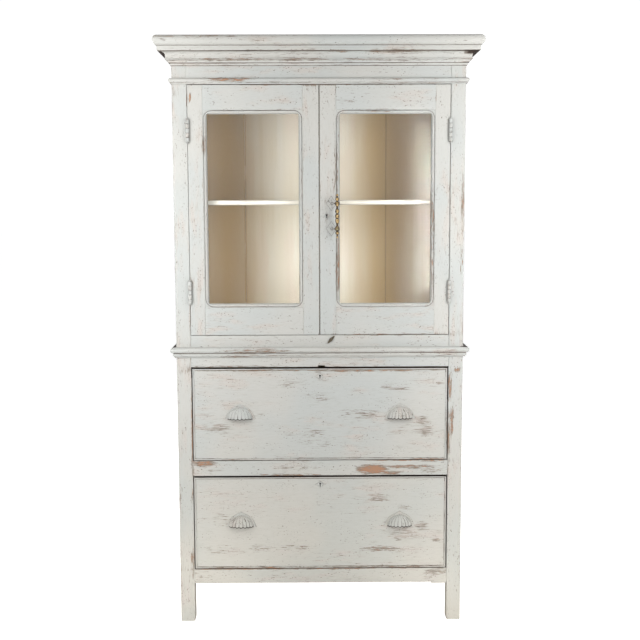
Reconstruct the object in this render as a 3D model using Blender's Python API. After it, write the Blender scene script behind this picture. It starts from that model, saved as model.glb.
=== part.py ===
"""Two-stage painted armoire: a glazed cupboard over two deep drawers, on square legs.

Metres, +Z up, front facing -Y, origin at the centre of the footprint on the floor.
"""

import math

import bmesh
import bpy
from mathutils import Matrix, Vector

# ---------------------------------------------------------------- driving dimensions
CARCASS_W = 1.000          # across the outer faces of the posts
CARCASS_D = 0.450          # front face of the posts to the back boards
OVERHANG = 0.055           # cornice, beyond the posts
TOTAL_H = 2.048
FIT = 0.0003               # gap between pieces that touch
BOARD = 0.022              # thickness of rails, doors and drawer fronts
POST_W = 0.050
POST_D = 0.045
FOOT_ROUND = 0.008         # rounded inner corner under each front leg

UNDER_Z = 0.140            # underside of the bottom rail
LOWER_OPEN_Z = (0.1925, 0.5320)
UPPER_OPEN_Z = (0.5865, 0.9200)
DOOR_OPEN_Z = (1.0320, 1.8900)
CORNICE_Z = 1.950          # underside of the cornice
POST_TOP_Z = 2.0257
WAIST_Z = 0.9545           # underside of the waist moulding
BEAD_Z = 1.8905            # underside of the frieze bead

DOOR_GAP = 0.0035          # beside each door, and between the doors
DOOR_RISE = 0.0015         # above and below each door
MEETING_STILE_W = 0.0548
HINGE_STILE_W = 0.0525
TOP_RAIL_H = 0.0836
BOTTOM_RAIL_H = 0.0958
STICKING_W = 0.0142        # moulding between the door frame and the glass
GLASS_T = 0.003

DRAWER_GAP = 0.0036         # beside and above each drawer front
DRAWER_GAP_BELOW = 0.0018
DRAWER_WALL = 0.012
DRAWER_DEPTH = 0.3805      # of the drawer box behind its front
DRAWER_SIDE_PLAY = 0.0025
DRAWER_HEADROOM = 0.012
DRAWER_FLOOR_UP = 0.012
DRAWER_FLOOR_T = 0.007
COCK_BEAD_W = 0.0065
COCK_BEAD_PROUD = 0.0016

SHELF_Z = (1.4836, 1.4996)
SHELF_SETBACK = 0.060
PANEL_T = 0.020
PANEL_RECESS = 0.005
BACK_T = 0.012
BACK_JOINTS_X = (-0.282, -0.010, 0.260)

HINGE_L = 0.088
HINGE_R = 0.0065
HINGE_PIN_R = 0.0020
HINGE_TIP = 0.0050         # turned tip beyond the last knuckle
HINGE_Z = {"upper": 1.7345, "lower": 1.1830}
LEAF_T = 0.0013
LEAF_D = 0.0205

PULL_X = 0.281             # cup pulls, either side of the centre line
PULL_W = 0.088
PULL_H = 0.041
PULL_OUT = 0.023
PULL_WALL = 0.0020
FLANGE_T = 0.0012
FLUTES = 9
SCALLOP = 0.0020

HANDLE_X = 0.0603          # vertical turned bar on the right door
HANDLE_Z = (1.3694, 1.5195)
HANDLE_ARM_Z = (1.4878, 1.4010)
HANDLE_OUT = 0.034
ARM_HALF = 0.0030
LEAF_X = 0.0408            # leaf plates under the arms
LEAF_HALF_W = 0.0170
LEAF_HALF_H = 0.0260
KEYHOLE_X = 0.0250
KEYHOLE_Z = 1.4450
PLATE_T = 0.0015
DOOR_PLATE = (0.0145, 0.0135)       # half width and half height of the diamond plates
DRAWER_PLATE = (0.0195, 0.0145)
LOCK_CASE_T = 0.0130
LOCK_CASE_HALF_W = 0.0340
LOCK_SLEEVE_R = 0.0055

BUTTON_X = 0.0389          # turn button on the rail below the doors
BUTTON_Z = 1.0165
BUTTON_HALF = 0.0190
BUTTON_ANGLE = 48.0

# ---------------------------------------------------------------- worked-out places
HALF_W = CARCASS_W / 2
BACK_Y = (CARCASS_D + OVERHANG) / 2
FRONT_Y = BACK_Y - CARCASS_D
OPEN_X = HALF_W - POST_W
PANEL_IN_X = HALF_W - PANEL_RECESS - PANEL_T
RAIL_BACK_Y = FRONT_Y + BOARD
POST_BACK_Y = FRONT_Y + POST_D
REAR_POST_Y = BACK_Y - POST_D
BACK_FRONT_Y = BACK_Y - BACK_T
DOOR_Z = (DOOR_OPEN_Z[0] + DOOR_RISE, DOOR_OPEN_Z[1] - DOOR_RISE)
DOOR_IN_X = DOOR_GAP / 2
DOOR_OUT_X = OPEN_X - DOOR_GAP
PANE_X = (DOOR_IN_X + MEETING_STILE_W, DOOR_OUT_X - HINGE_STILE_W)
PANE_Z = (DOOR_Z[0] + BOTTOM_RAIL_H, DOOR_Z[1] - TOP_RAIL_H)
HINGE_X = OPEN_X - DOOR_GAP / 2
HINGE_Y = FRONT_Y - HINGE_R - FIT
PANEL_Y = FRONT_Y + COCK_BEAD_PROUD   # face of a drawer front inside its cock bead
FACING = Matrix.Rotation(math.radians(90), 4, "X")   # turns +Z to the front

PAINT = {"colour": (0.62, 0.62, 0.59), "roughness": 0.75, "metallic": 0.0}
CREAM = {"colour": (0.76, 0.68, 0.54), "roughness": 0.7, "metallic": 0.0}
PINE = {"colour": (0.42, 0.27, 0.15), "roughness": 0.7, "metallic": 0.0}
GLASS = {"colour": (0.85, 0.9, 0.88), "roughness": 0.05, "metallic": 0.0}
BRASS = {"colour": (0.45, 0.32, 0.14), "roughness": 0.4, "metallic": 1.0}
IRON = {"colour": (0.12, 0.11, 0.09), "roughness": 0.55, "metallic": 1.0}


# ---------------------------------------------------------------- helpers
def clear_scene():
    for obj in list(bpy.data.objects):
        bpy.data.objects.remove(obj, do_unlink=True)


def material(name, finish):
    mat = bpy.data.materials.new(name)
    mat.use_nodes = True
    shader = mat.node_tree.nodes["Principled BSDF"]
    shader.inputs["Base Color"].default_value = (*finish["colour"], 1.0)
    shader.inputs["Roughness"].default_value = finish["roughness"]
    shader.inputs["Metallic"].default_value = finish["metallic"]
    return mat


def add_object(name, bm, finish, parent=None, smooth=False):
    """Turns a bmesh in world metres into an object whose origin is its own centre."""
    bmesh.ops.recalc_face_normals(bm, faces=bm.faces)
    lows = [min(v.co[k] for v in bm.verts) for k in range(3)]
    highs = [max(v.co[k] for v in bm.verts) for k in range(3)]
    centre = (Vector(lows) + Vector(highs)) / 2
    bm.transform(Matrix.Translation(-centre))
    mesh = bpy.data.meshes.new(name)
    bm.to_mesh(mesh)
    bm.free()
    if smooth:
        mesh.shade_smooth()
        mesh.set_sharp_from_angle(angle=math.radians(35))
    obj = bpy.data.objects.new(name, mesh)
    bpy.context.scene.collection.objects.link(obj)
    obj.location = centre
    if finish is not None:
        mesh.materials.append(material(name + "_finish", finish))
    if parent is not None:
        obj.parent = parent
        obj.location = centre - parent.location
    return obj


def axis_empty(name, place):
    """The parent of a moving body, standing on its joint's axis."""
    empty = bpy.data.objects.new(name, None)
    bpy.context.scene.collection.objects.link(empty)
    empty.location = place
    return empty


def modify(target, helper, operation):
    """Joins a helper solid to the target, or cuts it out of the target."""
    helper.hide_render = True
    helper.display_type = "WIRE"
    step = target.modifiers.new(helper.name, "BOOLEAN")
    step.operation = operation
    step.object = helper


def prism_mesh(outline, along, low, high):
    """An outline in the two axes other than `along`, in X, Y, Z order, drawn out along it."""
    others = [k for k in range(3) if k != along]
    bm = bmesh.new()
    ends = []
    for level in (low, high):
        ring = []
        for point in outline:
            co = [0.0, 0.0, 0.0]
            co[others[0]], co[others[1]] = point
            co[along] = level
            ring.append(bm.verts.new(co))
        ends.append(ring)
    bm.faces.new(ends[0])
    bm.faces.new(ends[1])
    count = len(outline)
    for i in range(count):
        j = (i + 1) % count
        bm.faces.new((ends[0][i], ends[0][j], ends[1][j], ends[1][i]))
    return bm


def prism(name, outline, along, low, high, finish, parent=None):
    return add_object(name, prism_mesh(outline, along, low, high), finish, parent)


def box(name, xs, ys, zs, finish, parent=None):
    outline = ((xs[0], ys[0]), (xs[1], ys[0]), (xs[1], ys[1]), (xs[0], ys[1]))
    return prism(name, outline, 2, zs[0], zs[1], finish, parent)


def lathe(name, profile, place, sides, finish, parent=None, turn=None):
    """A solid of revolution about Z through `place`; the profile runs from axis to axis as (r, z)."""
    bm = bmesh.new()
    rings = []
    for r, z in profile:
        if r == 0:
            rings.append([bm.verts.new((0, 0, z))])
            continue
        angles = (2 * math.pi * k / sides for k in range(sides))
        rings.append([bm.verts.new((r * math.cos(a), r * math.sin(a), z)) for a in angles])
    for low, high in zip(rings, rings[1:]):
        for k in range(sides):
            n = (k + 1) % sides
            if len(low) == 1:
                bm.faces.new((low[0], high[n], high[k]))
            elif len(high) == 1:
                bm.faces.new((low[k], low[n], high[0]))
            else:
                bm.faces.new((low[k], low[n], high[n], high[k]))
    if turn is not None:
        bm.transform(turn)
    bm.transform(Matrix.Translation(place))
    return add_object(name, bm, finish, parent, smooth=True)


def tube(name, outer, inner, place, zs, sides, finish, parent=None):
    bm = bmesh.new()
    rings = []
    for r, z in ((outer, zs[0]), (outer, zs[1]), (inner, zs[1]), (inner, zs[0])):
        angles = (2 * math.pi * k / sides for k in range(sides))
        rings.append([bm.verts.new((r * math.cos(a), r * math.sin(a), z)) for a in angles])
    for i in range(4):
        low, high = rings[i], rings[(i + 1) % 4]
        for k in range(sides):
            n = (k + 1) % sides
            bm.faces.new((low[k], low[n], high[n], high[k]))
    bm.transform(Matrix.Translation(place))
    return add_object(name, bm, finish, parent, smooth=True)


def arc(centre, radii, start, end, steps):
    """Points of an elliptical arc, angles in degrees."""
    points = []
    for i in range(steps + 1):
        a = math.radians(start + (end - start) * i / steps)
        points.append((centre[0] + radii[0] * math.cos(a), centre[1] + radii[1] * math.sin(a)))
    return points


def wrap_moulding(name, profile, base_z, finish):
    """A moulding mitred round the front and both sides; the profile is (projection, height)."""
    bm = bmesh.new()
    stations = []
    for corner_x, corner_y, out_x, out_y in (
        (-HALF_W, BACK_Y, -1, 0),
        (-HALF_W, FRONT_Y, -1, -1),
        (HALF_W, FRONT_Y, 1, -1),
        (HALF_W, BACK_Y, 1, 0),
    ):
        ring = []
        for out, height in profile:
            gap = out + FIT
            co = (corner_x + out_x * gap, corner_y + out_y * gap, base_z + height)
            ring.append(bm.verts.new(co))
        stations.append(ring)
    bm.faces.new(stations[0])
    bm.faces.new(stations[-1])
    count = len(profile)
    for here, there in zip(stations, stations[1:]):
        for i in range(count):
            j = (i + 1) % count
            bm.faces.new((here[i], here[j], there[j], there[i]))
    return add_object(name, bm, finish)


# ---------------------------------------------------------------- carcass
def build_posts():
    for side, word in ((-1, "left"), (1, "right")):
        inner = side * OPEN_X
        foot = arc((inner + side * FOOT_ROUND, FOOT_ROUND), (side * -FOOT_ROUND, FOOT_ROUND), -90, 0, 3)
        outline = [(side * HALF_W, 0.0), *foot, (inner, POST_TOP_Z), (side * HALF_W, POST_TOP_Z)]
        prism(f"front_post_{word}", outline, 1, FRONT_Y, POST_BACK_Y, PAINT)
        xs = sorted((inner, side * HALF_W))
        box(f"rear_post_{word}", xs, (REAR_POST_Y, BACK_Y), (0.0, POST_TOP_Z), PAINT)


def build_side_panels():
    """Three upright boards a side, with a V where they meet, glued up as one panel."""
    front, back = POST_BACK_Y + FIT, REAR_POST_Y - FIT
    groove = 0.003
    for side, word in ((-1, "left"), (1, "right")):
        outer, inner = side * (HALF_W - PANEL_RECESS), side * PANEL_IN_X
        outline = [(inner, front), (outer, front)]
        for n in (1, 2):
            y = front + (back - front) * n / 3
            outline += [(outer, y - groove), (outer - side * groove, y), (outer, y + groove)]
        outline += [(outer, back), (inner, back)]
        prism(f"side_panel_{word}", outline, 2, UNDER_Z + 0.010, POST_TOP_Z, PAINT)


def build_rails():
    xs = (-OPEN_X + FIT, OPEN_X - FIT)
    ys = (FRONT_Y, RAIL_BACK_Y)
    box("frieze_rail", xs, ys, (DOOR_OPEN_Z[1], POST_TOP_Z), PAINT)
    box("middle_rail", xs, ys, (LOWER_OPEN_Z[1], UPPER_OPEN_Z[0]), PAINT)
    box("bottom_rail", xs, ys, (UNDER_Z, LOWER_OPEN_Z[0]), PAINT)
    waist = box("waist_rail", xs, ys, (UPPER_OPEN_Z[1], DOOR_OPEN_Z[0]), PAINT)
    notch_x, notch_w, notch_h = 0.0055, 0.0125, 0.005
    notch = box(
        "lock_bolt_mortise",
        (notch_x - notch_w, notch_x + notch_w),
        (FRONT_Y - 0.01, RAIL_BACK_Y + 0.01),
        (UPPER_OPEN_Z[1] - 0.01, UPPER_OPEN_Z[1] + notch_h),
        None,
    )
    modify(waist, notch, "DIFFERENCE")
    pilot = lathe(
        "button_screw_hole",
        ((0, -0.011), (0.0023, -0.011), (0.0023, 0.011), (0, 0.011)),
        (BUTTON_X, FRONT_Y, BUTTON_Z),
        12,
        None,
        turn=FACING,
    )
    modify(waist, pilot, "DIFFERENCE")


def build_mouldings():
    cornice = [(0.0, 0.0), (0.0075, 0.0), (0.0090, 0.0095), (0.0115, 0.0110)]
    cornice += [(0.0125, 0.0150), (0.0165, 0.0185), (0.0215, 0.0205), (0.0250, 0.0245)]
    cornice += [(0.0270, 0.0250), (0.0270, 0.0295)]
    cornice += arc((0.0370, 0.0300), (-0.0125, 0.0165), 0, 90, 4)
    cornice += [(0.0415, 0.0470), (0.0415, 0.0630)]
    nose_h = TOTAL_H - CORNICE_Z - 0.0635
    nose = (OVERHANG - FIT - 0.015, 0.0635 + nose_h / 2)
    cornice += arc(nose, (0.015, nose_h / 2), -78, 78, 8)
    cornice += [(nose[0], TOTAL_H - CORNICE_Z), (0.0, TOTAL_H - CORNICE_Z)]
    wrap_moulding("cornice", cornice, CORNICE_Z, PAINT)

    waist = [(0.0, 0.0), (0.0040, 0.0012), (0.0075, 0.0055), (0.0085, 0.0110), (0.0100, 0.0170)]
    waist += arc((0.0115, 0.0270), (0.0080, 0.0092), -80, 80, 6)
    waist += [(0.0, 0.0370)]
    wrap_moulding("waist_moulding", waist, WAIST_Z, PAINT)

    bead = [(0.0, 0.0), (0.0035, 0.0005), (0.0050, 0.0045)]
    bead += arc((0.0045, 0.0125), (0.0053, 0.0072), -75, 90, 6)
    bead += [(0.0, 0.0205)]
    wrap_moulding("frieze_bead", bead, BEAD_Z, PAINT)


def notched_board(name, front_y, zs):
    """A board between the side panels, cut round whichever posts it meets."""
    wide, narrow = PANEL_IN_X - FIT, OPEN_X - FIT
    back_y = BACK_FRONT_Y - FIT
    right = []
    if front_y < POST_BACK_Y:
        right += [(narrow, front_y), (narrow, POST_BACK_Y + FIT), (wide, POST_BACK_Y + FIT)]
    else:
        right += [(wide, front_y)]
    right += [(wide, REAR_POST_Y - FIT), (narrow, REAR_POST_Y - FIT), (narrow, back_y)]
    outline = right + [(-x, y) for x, y in reversed(right)]
    return prism(name, outline, 2, zs[0], zs[1], CREAM)


def build_boards():
    top_xs = (-HALF_W + FIT, HALF_W - FIT)
    box("top_board", top_xs, (FRONT_Y + FIT, BACK_Y), (POST_TOP_Z + FIT, TOTAL_H - 0.002), PINE)
    floor_top = DOOR_OPEN_Z[0] - 0.002
    notched_board("cupboard_floor", RAIL_BACK_Y + FIT, (floor_top - 0.016, floor_top))
    notched_board("shelf", FRONT_Y + SHELF_SETBACK, SHELF_Z)
    edges = (-OPEN_X, *BACK_JOINTS_X, OPEN_X)
    for n, (left, right) in enumerate(zip(edges, edges[1:]), start=1):
        xs = (left + FIT, right - FIT)
        box(f"back_board_{n}", xs, (BACK_FRONT_Y, BACK_Y), (UNDER_Z + 0.010, POST_TOP_Z), CREAM)


def build_runner_frames():
    """A web against the side panel, with a ledge under each drawer and a guide beside it."""
    wall = PANEL_IN_X - FIT
    web, guide, ledge = wall - 0.010, DOOR_OUT_X - 0.001, OPEN_X - 0.025
    ledge_h, guide_h = 0.024, 0.030
    for side, word in ((-1, "left"), (1, "right")):
        outline = [(wall, LOWER_OPEN_Z[0] - ledge_h)]
        for base in (LOWER_OPEN_Z[0], UPPER_OPEN_Z[0]):
            if base != LOWER_OPEN_Z[0]:
                outline.append((web, base - ledge_h))
            outline += [(ledge, base - ledge_h), (ledge, base), (guide, base)]
            outline += [(guide, base + guide_h), (web, base + guide_h)]
        outline += [(web, UPPER_OPEN_Z[1]), (wall, UPPER_OPEN_Z[1])]
        outline = [(side * x, z) for x, z in outline]
        prism(f"runner_frame_{word}", outline, 1, POST_BACK_Y + FIT, REAR_POST_Y - FIT, PINE)


# ---------------------------------------------------------------- hinges
def knuckle_spans(middle):
    """Five knuckles between the two turned tips."""
    low = middle - HINGE_L / 2 + HINGE_TIP
    pitch = (HINGE_L - 2 * HINGE_TIP) / 5
    half_gap = 0.0002
    return [(low + pitch * n + half_gap, low + pitch * (n + 1) - half_gap) for n in range(5)]


def leaf_outline(middle, spans):
    """The flat leaf in (y, z), with tabs that reach forward to its own knuckles."""
    low, high = middle - HINGE_L / 2 + HINGE_TIP, middle + HINGE_L / 2 - HINGE_TIP
    tab_play = 0.0004
    edge = FRONT_Y + FIT
    reach = HINGE_Y + (HINGE_R + HINGE_PIN_R) / 2
    outline = [(edge + LEAF_D, low), (edge + LEAF_D, high)]
    for start, end in reversed(spans):
        outline += [(edge, end - tab_play), (reach, end - tab_play)]
        outline += [(reach, start + tab_play), (edge, start + tab_play)]
    return [outline[0], *reversed(outline[1:])]


def build_hinge(side, word, which, door):
    """Two leaves let into post and door; the pin and its turned tips belong to the post's leaf."""
    middle = HINGE_Z[which]
    place = (side * HINGE_X, HINGE_Y, 0.0)
    spans = knuckle_spans(middle)
    post_spans, door_spans = spans[0::2], spans[1::2]
    sides = 12
    pin_play = 0.0004

    leaf_in, leaf_out = HINGE_X + FIT / 2, HINGE_X + FIT / 2 + LEAF_T
    post_leaf = prism(
        f"{word}_{which}_hinge_post_leaf", leaf_outline(middle, post_spans), 0,
        side * leaf_in, side * leaf_out, PAINT,
    )
    ball = 0.0042
    low, high = post_spans[0][0], post_spans[-1][1]
    profile = [(0, low - 0.0050), (ball * 0.7, low - 0.0042), (ball, low - 0.0022), (ball * 0.8, low)]
    for (start, end), (next_start, _) in zip(post_spans, post_spans[1:]):
        profile += [(HINGE_R, start), (HINGE_R, end), (HINGE_PIN_R, end), (HINGE_PIN_R, next_start)]
    profile += [(HINGE_R, post_spans[-1][0]), (HINGE_R, high), (ball * 0.8, high)]
    profile += [(ball, high + 0.0022), (ball * 0.7, high + 0.0042), (0, high + 0.0050)]
    barrel = lathe(f"{word}_{which}_barrel", profile, place, sides, None)
    modify(post_leaf, barrel, "UNION")

    door_leaf = prism(
        f"{word}_{which}_hinge_door_leaf", leaf_outline(middle, door_spans), 0,
        side * (HINGE_X - FIT / 2 - LEAF_T), side * (HINGE_X - FIT / 2), PAINT, door,
    )
    for n, span in enumerate(door_spans):
        ring = tube(
            f"{word}_{which}_knuckle_{n}", HINGE_R, HINGE_PIN_R + pin_play, place, span, sides, None
        )
        modify(door_leaf, ring, "UNION")


# ---------------------------------------------------------------- doors
STICKING = (  # (inward from the frame's edge, back from the door's face)
    (-0.0040, 0.0035),
    (0.0025, 0.0035),
    (0.0035, 0.0016),
    (0.0070, 0.0013),
    (0.0105, 0.0026),
    (0.0130, 0.0050),
    (STICKING_W, 0.0085),
    (STICKING_W, 0.0125),
    (-0.0040, 0.0125),
)


def sticking(name, side, edge, mitres, upright):
    """The moulding on one member's inner edge, mitred at both ends.

    `edge` is (place, direction) of the member's inner edge across the pane, and `mitres`
    are the two edges that the moulding runs between.
    """
    bm = bmesh.new()
    rings = []
    for end, inward in ((mitres[0], 1), (mitres[1], -1)):
        ring = []
        for inset, back in STICKING:
            along = end + inward * (inset + FIT / 2)
            if not upright:
                along = end + inward * (max(inset, 0.001) + FIT)
            across = edge[0] + edge[1] * inset
            u, z = (across, along) if upright else (along, across)
            ring.append(bm.verts.new((side * u, FRONT_Y + back, z)))
        rings.append(ring)
    bm.faces.new(rings[0])
    bm.faces.new(rings[1])
    count = len(STICKING)
    for i in range(count):
        j = (i + 1) % count
        bm.faces.new((rings[0][i], rings[0][j], rings[1][j], rings[1][i]))
    return add_object(name, bm, None)


def build_door(side, word):
    hinge_axis = axis_empty(f"{word}_door_axis", (side * HINGE_X, HINGE_Y, DOOR_Z[0]))
    ys = (FRONT_Y, RAIL_BACK_Y)
    rail_us = (PANE_X[0] + FIT, PANE_X[1] - FIT)
    members = (
        ("meeting_stile", (DOOR_IN_X, PANE_X[0]), DOOR_Z, (PANE_X[0], 1), True),
        ("hinge_stile", (PANE_X[1], DOOR_OUT_X), DOOR_Z, (PANE_X[1], -1), True),
        ("bottom_rail", rail_us, (DOOR_Z[0], PANE_Z[0]), (PANE_Z[0], 1), False),
        ("top_rail", rail_us, (PANE_Z[1], DOOR_Z[1]), (PANE_Z[1], -1), False),
    )
    for label, us, zs, edge, upright in members:
        xs = sorted(side * u for u in us)
        board = box(f"{word}_door_{label}", xs, ys, zs, PAINT, hinge_axis)
        ends = PANE_Z if upright else PANE_X
        trim = sticking(f"{word}_{label}_sticking", side, edge, ends, upright)
        modify(board, trim, "UNION")
        if side > 0 and label == "meeting_stile":
            case_half = 0.032
            case_xs = (DOOR_IN_X + 0.003, PANE_X[0] - 0.004)
            case_zs = (KEYHOLE_Z - case_half, KEYHOLE_Z + case_half)
            place = (KEYHOLE_X, KEYHOLE_Z)
            build_lock(
                "door_lock", board, place, FRONT_Y, DOOR_PLATE, case_xs, case_zs, hinge_axis
            )
    glass_back = FRONT_Y + STICKING[-1][1] + FIT
    margin = 0.001
    xs = sorted((side * (PANE_X[0] + margin), side * (PANE_X[1] - margin)))
    zs = (PANE_Z[0] + margin, PANE_Z[1] - margin)
    box(f"{word}_door_glass", xs, (glass_back, glass_back + GLASS_T), zs, GLASS, hinge_axis)
    for which in HINGE_Z:
        build_hinge(side, word, which, hinge_axis)
    return hinge_axis


def build_lock(name, board, place, face_y, plate, case_xs, case_zs, parent):
    """Lock case behind a board, a sleeve through it, and the diamond keyhole plate on its face."""
    x, z = place
    half_w, half_h = plate
    diamond = ((x - half_w, z), (x, z - half_h), (x + half_w, z), (x, z + half_h))
    lock = prism(name, diamond, 1, face_y - PLATE_T - FIT, face_y - FIT, IRON, parent)
    depth = BOARD + 0.004
    sleeve = ((0, -depth), (LOCK_SLEEVE_R, -depth), (LOCK_SLEEVE_R, 0), (0, 0))
    start = (x, face_y - PLATE_T / 2, z)
    modify(lock, lathe(name + "_sleeve", sleeve, start, 12, None, turn=FACING), "UNION")
    case_ys = (RAIL_BACK_Y + FIT, RAIL_BACK_Y + LOCK_CASE_T)
    modify(lock, box(name + "_case", case_xs, case_ys, case_zs, None), "UNION")
    eye_r, eye_depth = 0.0033, 0.0120
    eye = ((0, -eye_depth), (eye_r, -eye_depth), (eye_r, 0.006), (0, 0.006))
    eye_place = (x, face_y, z + 0.0030)
    modify(lock, lathe(name + "_eye", eye, eye_place, 10, None, turn=FACING), "DIFFERENCE")
    slot_ys = (face_y - 0.006, face_y + eye_depth - 0.0005)
    slot = box(name + "_slot", (x - 0.0015, x + 0.0015), slot_ys, (z - 0.0052, z + 0.002), None)
    modify(lock, slot, "DIFFERENCE")
    hole_r = LOCK_SLEEVE_R + 0.0005
    hole = ((0, -0.04), (hole_r, -0.04), (hole_r, 0.01), (0, 0.01))
    centre = (x, face_y, z)
    modify(board, lathe(name + "_hole", hole, centre, 12, None, turn=FACING), "DIFFERENCE")


# the turned bar: (height as a share of its length, radius in mm)
BAR_TURNING = (
    (0.023, 3.6), (0.066, 2.8), (0.114, 7.0), (0.158, 4.8), (0.2105, 8.2), (0.250, 6.4),
    (0.288, 3.4), (0.3295, 3.6), (0.398, 7.3), (0.4485, 5.2), (0.471, 7.3), (0.524, 7.3),
    (0.547, 3.6), (0.597, 7.3), (0.684, 3.4), (0.7185, 3.8), (0.748, 6.4), (0.789, 7.0),
    (0.833, 3.8), (0.879, 7.0), (0.940, 2.8), (0.975, 4.4),
)


def build_door_pull(door):
    """Turned bar held off the door by two arms, each on a pointed leaf plate."""
    low, high = HANDLE_Z
    profile = [(0, 0.0)]
    profile += [(r / 1000, t * (high - low)) for t, r in BAR_TURNING]
    profile += [(0, high - low)]
    pull = lathe("door_pull", profile, (HANDLE_X, FRONT_Y - HANDLE_OUT, low), 12, BRASS, door)
    for n, z in enumerate(HANDLE_ARM_Z):
        leaf = []
        for k in range(16):
            a = 2 * math.pi * k / 16
            reach = 1.0 - 0.30 * abs(math.sin(2 * a))
            u, w = LEAF_HALF_W * reach * math.cos(a), LEAF_HALF_H * reach * math.sin(a)
            leaf.append((LEAF_X + u, z + w))
        plate = prism(f"pull_leaf_{n}", leaf, 1, FRONT_Y - FIT - PLATE_T, FRONT_Y - FIT, None)
        modify(pull, plate, "UNION")
        root_y, tip_y = FRONT_Y - FIT - PLATE_T / 2, FRONT_Y - HANDLE_OUT
        corners = (
            (LEAF_X - ARM_HALF, root_y), (LEAF_X + ARM_HALF, root_y),
            (HANDLE_X + ARM_HALF, tip_y), (HANDLE_X - ARM_HALF, tip_y),
        )
        arm = prism(f"pull_arm_{n}", corners, 2, z - ARM_HALF, z + ARM_HALF, None)
        modify(pull, arm, "UNION")


# ---------------------------------------------------------------- drawers
def shell_point(middle, turn, lift, inset):
    """A point of the fluted shell: turn runs round the mouth, lift from the mouth to the crown."""
    ridge = 1.0 - abs(math.cos(FLUTES * turn))
    flute = 1.0 - 0.07 * (1.0 - ridge) * math.cos(lift)
    x = -(PULL_W / 2 - inset) * flute * math.cos(turn) * math.cos(lift)
    y = -(PULL_OUT - inset) * flute * math.sin(turn) * math.cos(lift)
    z = (PULL_H - inset) * math.sin(lift) - SCALLOP * ridge * math.sin(turn) * math.cos(lift) ** 6
    return (middle[0] + x, PANEL_Y - FIT + y, middle[1] + z)


def shell_mesh(middle):
    """Fluted cup: a quarter of a flattened ball, hollow, open below and against the drawer."""
    columns, rows = 3 * FLUTES, 6
    bm = bmesh.new()
    skins = []
    for inset in (0.0, PULL_WALL):
        grid = []
        for j in range(rows):
            lift = math.pi / 2 * j / rows
            turns = (math.pi * i / columns for i in range(columns + 1))
            grid.append([bm.verts.new(shell_point(middle, turn, lift, inset)) for turn in turns])
        crown = bm.verts.new(shell_point(middle, 0.0, math.pi / 2, inset))
        for j in range(rows - 1):
            for i in range(columns):
                bm.faces.new((grid[j][i], grid[j][i + 1], grid[j + 1][i + 1], grid[j + 1][i]))
        for i in range(columns):
            bm.faces.new((grid[-1][i], grid[-1][i + 1], crown))
        skins.append((grid, crown))
    (outer, crown_out), (inner, crown_in) = skins
    for i in range(columns):
        bm.faces.new((outer[0][i], outer[0][i + 1], inner[0][i + 1], inner[0][i]))
    for edge in (0, columns):
        for j in range(rows - 1):
            bm.faces.new((outer[j][edge], outer[j + 1][edge], inner[j + 1][edge], inner[j][edge]))
        bm.faces.new((outer[-1][edge], crown_out, crown_in, inner[-1][edge]))
    return bm


def build_cup_pull(name, middle, parent):
    """The cup, with a thin arched flange round it that has two ears and a pointed top."""
    pull = add_object(name, shell_mesh(middle), PAINT, parent, smooth=True)
    x, z = middle
    lip, ear, bite, steps = 0.0065, 0.0055, 0.001, 16
    foot_z = z + 0.0005
    reach = PULL_W / 2 + lip + ear
    arch = arc((x, z), (PULL_W / 2 + lip, PULL_H + lip), 0, 180, steps)
    arch[steps // 2] = (x, z + PULL_H + 2.1 * lip)
    outline = [(x + reach, foot_z), *arch[1:-1], (x - reach, foot_z)]
    outline += reversed(arc((x, foot_z), (PULL_W / 2 - bite, PULL_H - bite), 0, 180, steps))
    flange = prism(name + "_flange", outline, 1, PANEL_Y - FIT - FLANGE_T, PANEL_Y - FIT, None)
    modify(pull, flange, "UNION")


def build_drawer(word, open_z, keyhole_z, pull_z):
    """Front with a cock bead, four-sided box behind it, lock, and two cup pulls."""
    slide = axis_empty(f"{word}_drawer_slide", (0.0, FRONT_Y, open_z[0]))
    half = OPEN_X - DRAWER_GAP
    zs = (open_z[0] + DRAWER_GAP_BELOW, open_z[1] - DRAWER_GAP)

    outline = ((-half, zs[0]), (half, zs[0]), (half, zs[1]), (-half, zs[1]))
    bm = prism_mesh(outline, 1, FRONT_Y, RAIL_BACK_Y)
    bm.normal_update()
    face = min(bm.faces, key=lambda f: f.calc_center_median().y)
    bmesh.ops.inset_region(bm, faces=[face], thickness=COCK_BEAD_W)
    bmesh.ops.translate(bm, verts=face.verts, vec=(0, COCK_BEAD_PROUD, 0))
    front = add_object(f"{word}_drawer_front", bm, PAINT, slide)

    back_y = RAIL_BACK_Y + DRAWER_DEPTH
    side_out = half - DRAWER_SIDE_PLAY
    side_in = side_out - DRAWER_WALL
    low, high = open_z[0] + FIT, open_z[1] - DRAWER_HEADROOM
    ys = (RAIL_BACK_Y + FIT, back_y)
    for sign, label in ((-1, "left"), (1, "right")):
        xs = sorted((sign * side_in, sign * side_out))
        box(f"{word}_drawer_side_{label}", xs, ys, (low, high), PINE, slide)
    inner = (-side_in + FIT, side_in - FIT)
    back_ys = (back_y - DRAWER_WALL, back_y)
    floor_ys = (ys[0], back_ys[0] - FIT)
    floor_zs = (low + DRAWER_FLOOR_UP, low + DRAWER_FLOOR_UP + DRAWER_FLOOR_T)
    box(f"{word}_drawer_bottom", inner, floor_ys, floor_zs, PINE, slide)
    box(f"{word}_drawer_back", inner, back_ys, (low, high), PINE, slide)

    case_zs = (keyhole_z - 0.024, zs[1] - 0.001)
    build_lock(
        f"{word}_drawer_lock", front, (0.0, keyhole_z), PANEL_Y, DRAWER_PLATE,
        (-LOCK_CASE_HALF_W, LOCK_CASE_HALF_W), case_zs, slide,
    )
    for sign, label in ((-1, "left"), (1, "right")):
        build_cup_pull(f"{word}_drawer_pull_{label}", (sign * PULL_X, pull_z), slide)


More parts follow.
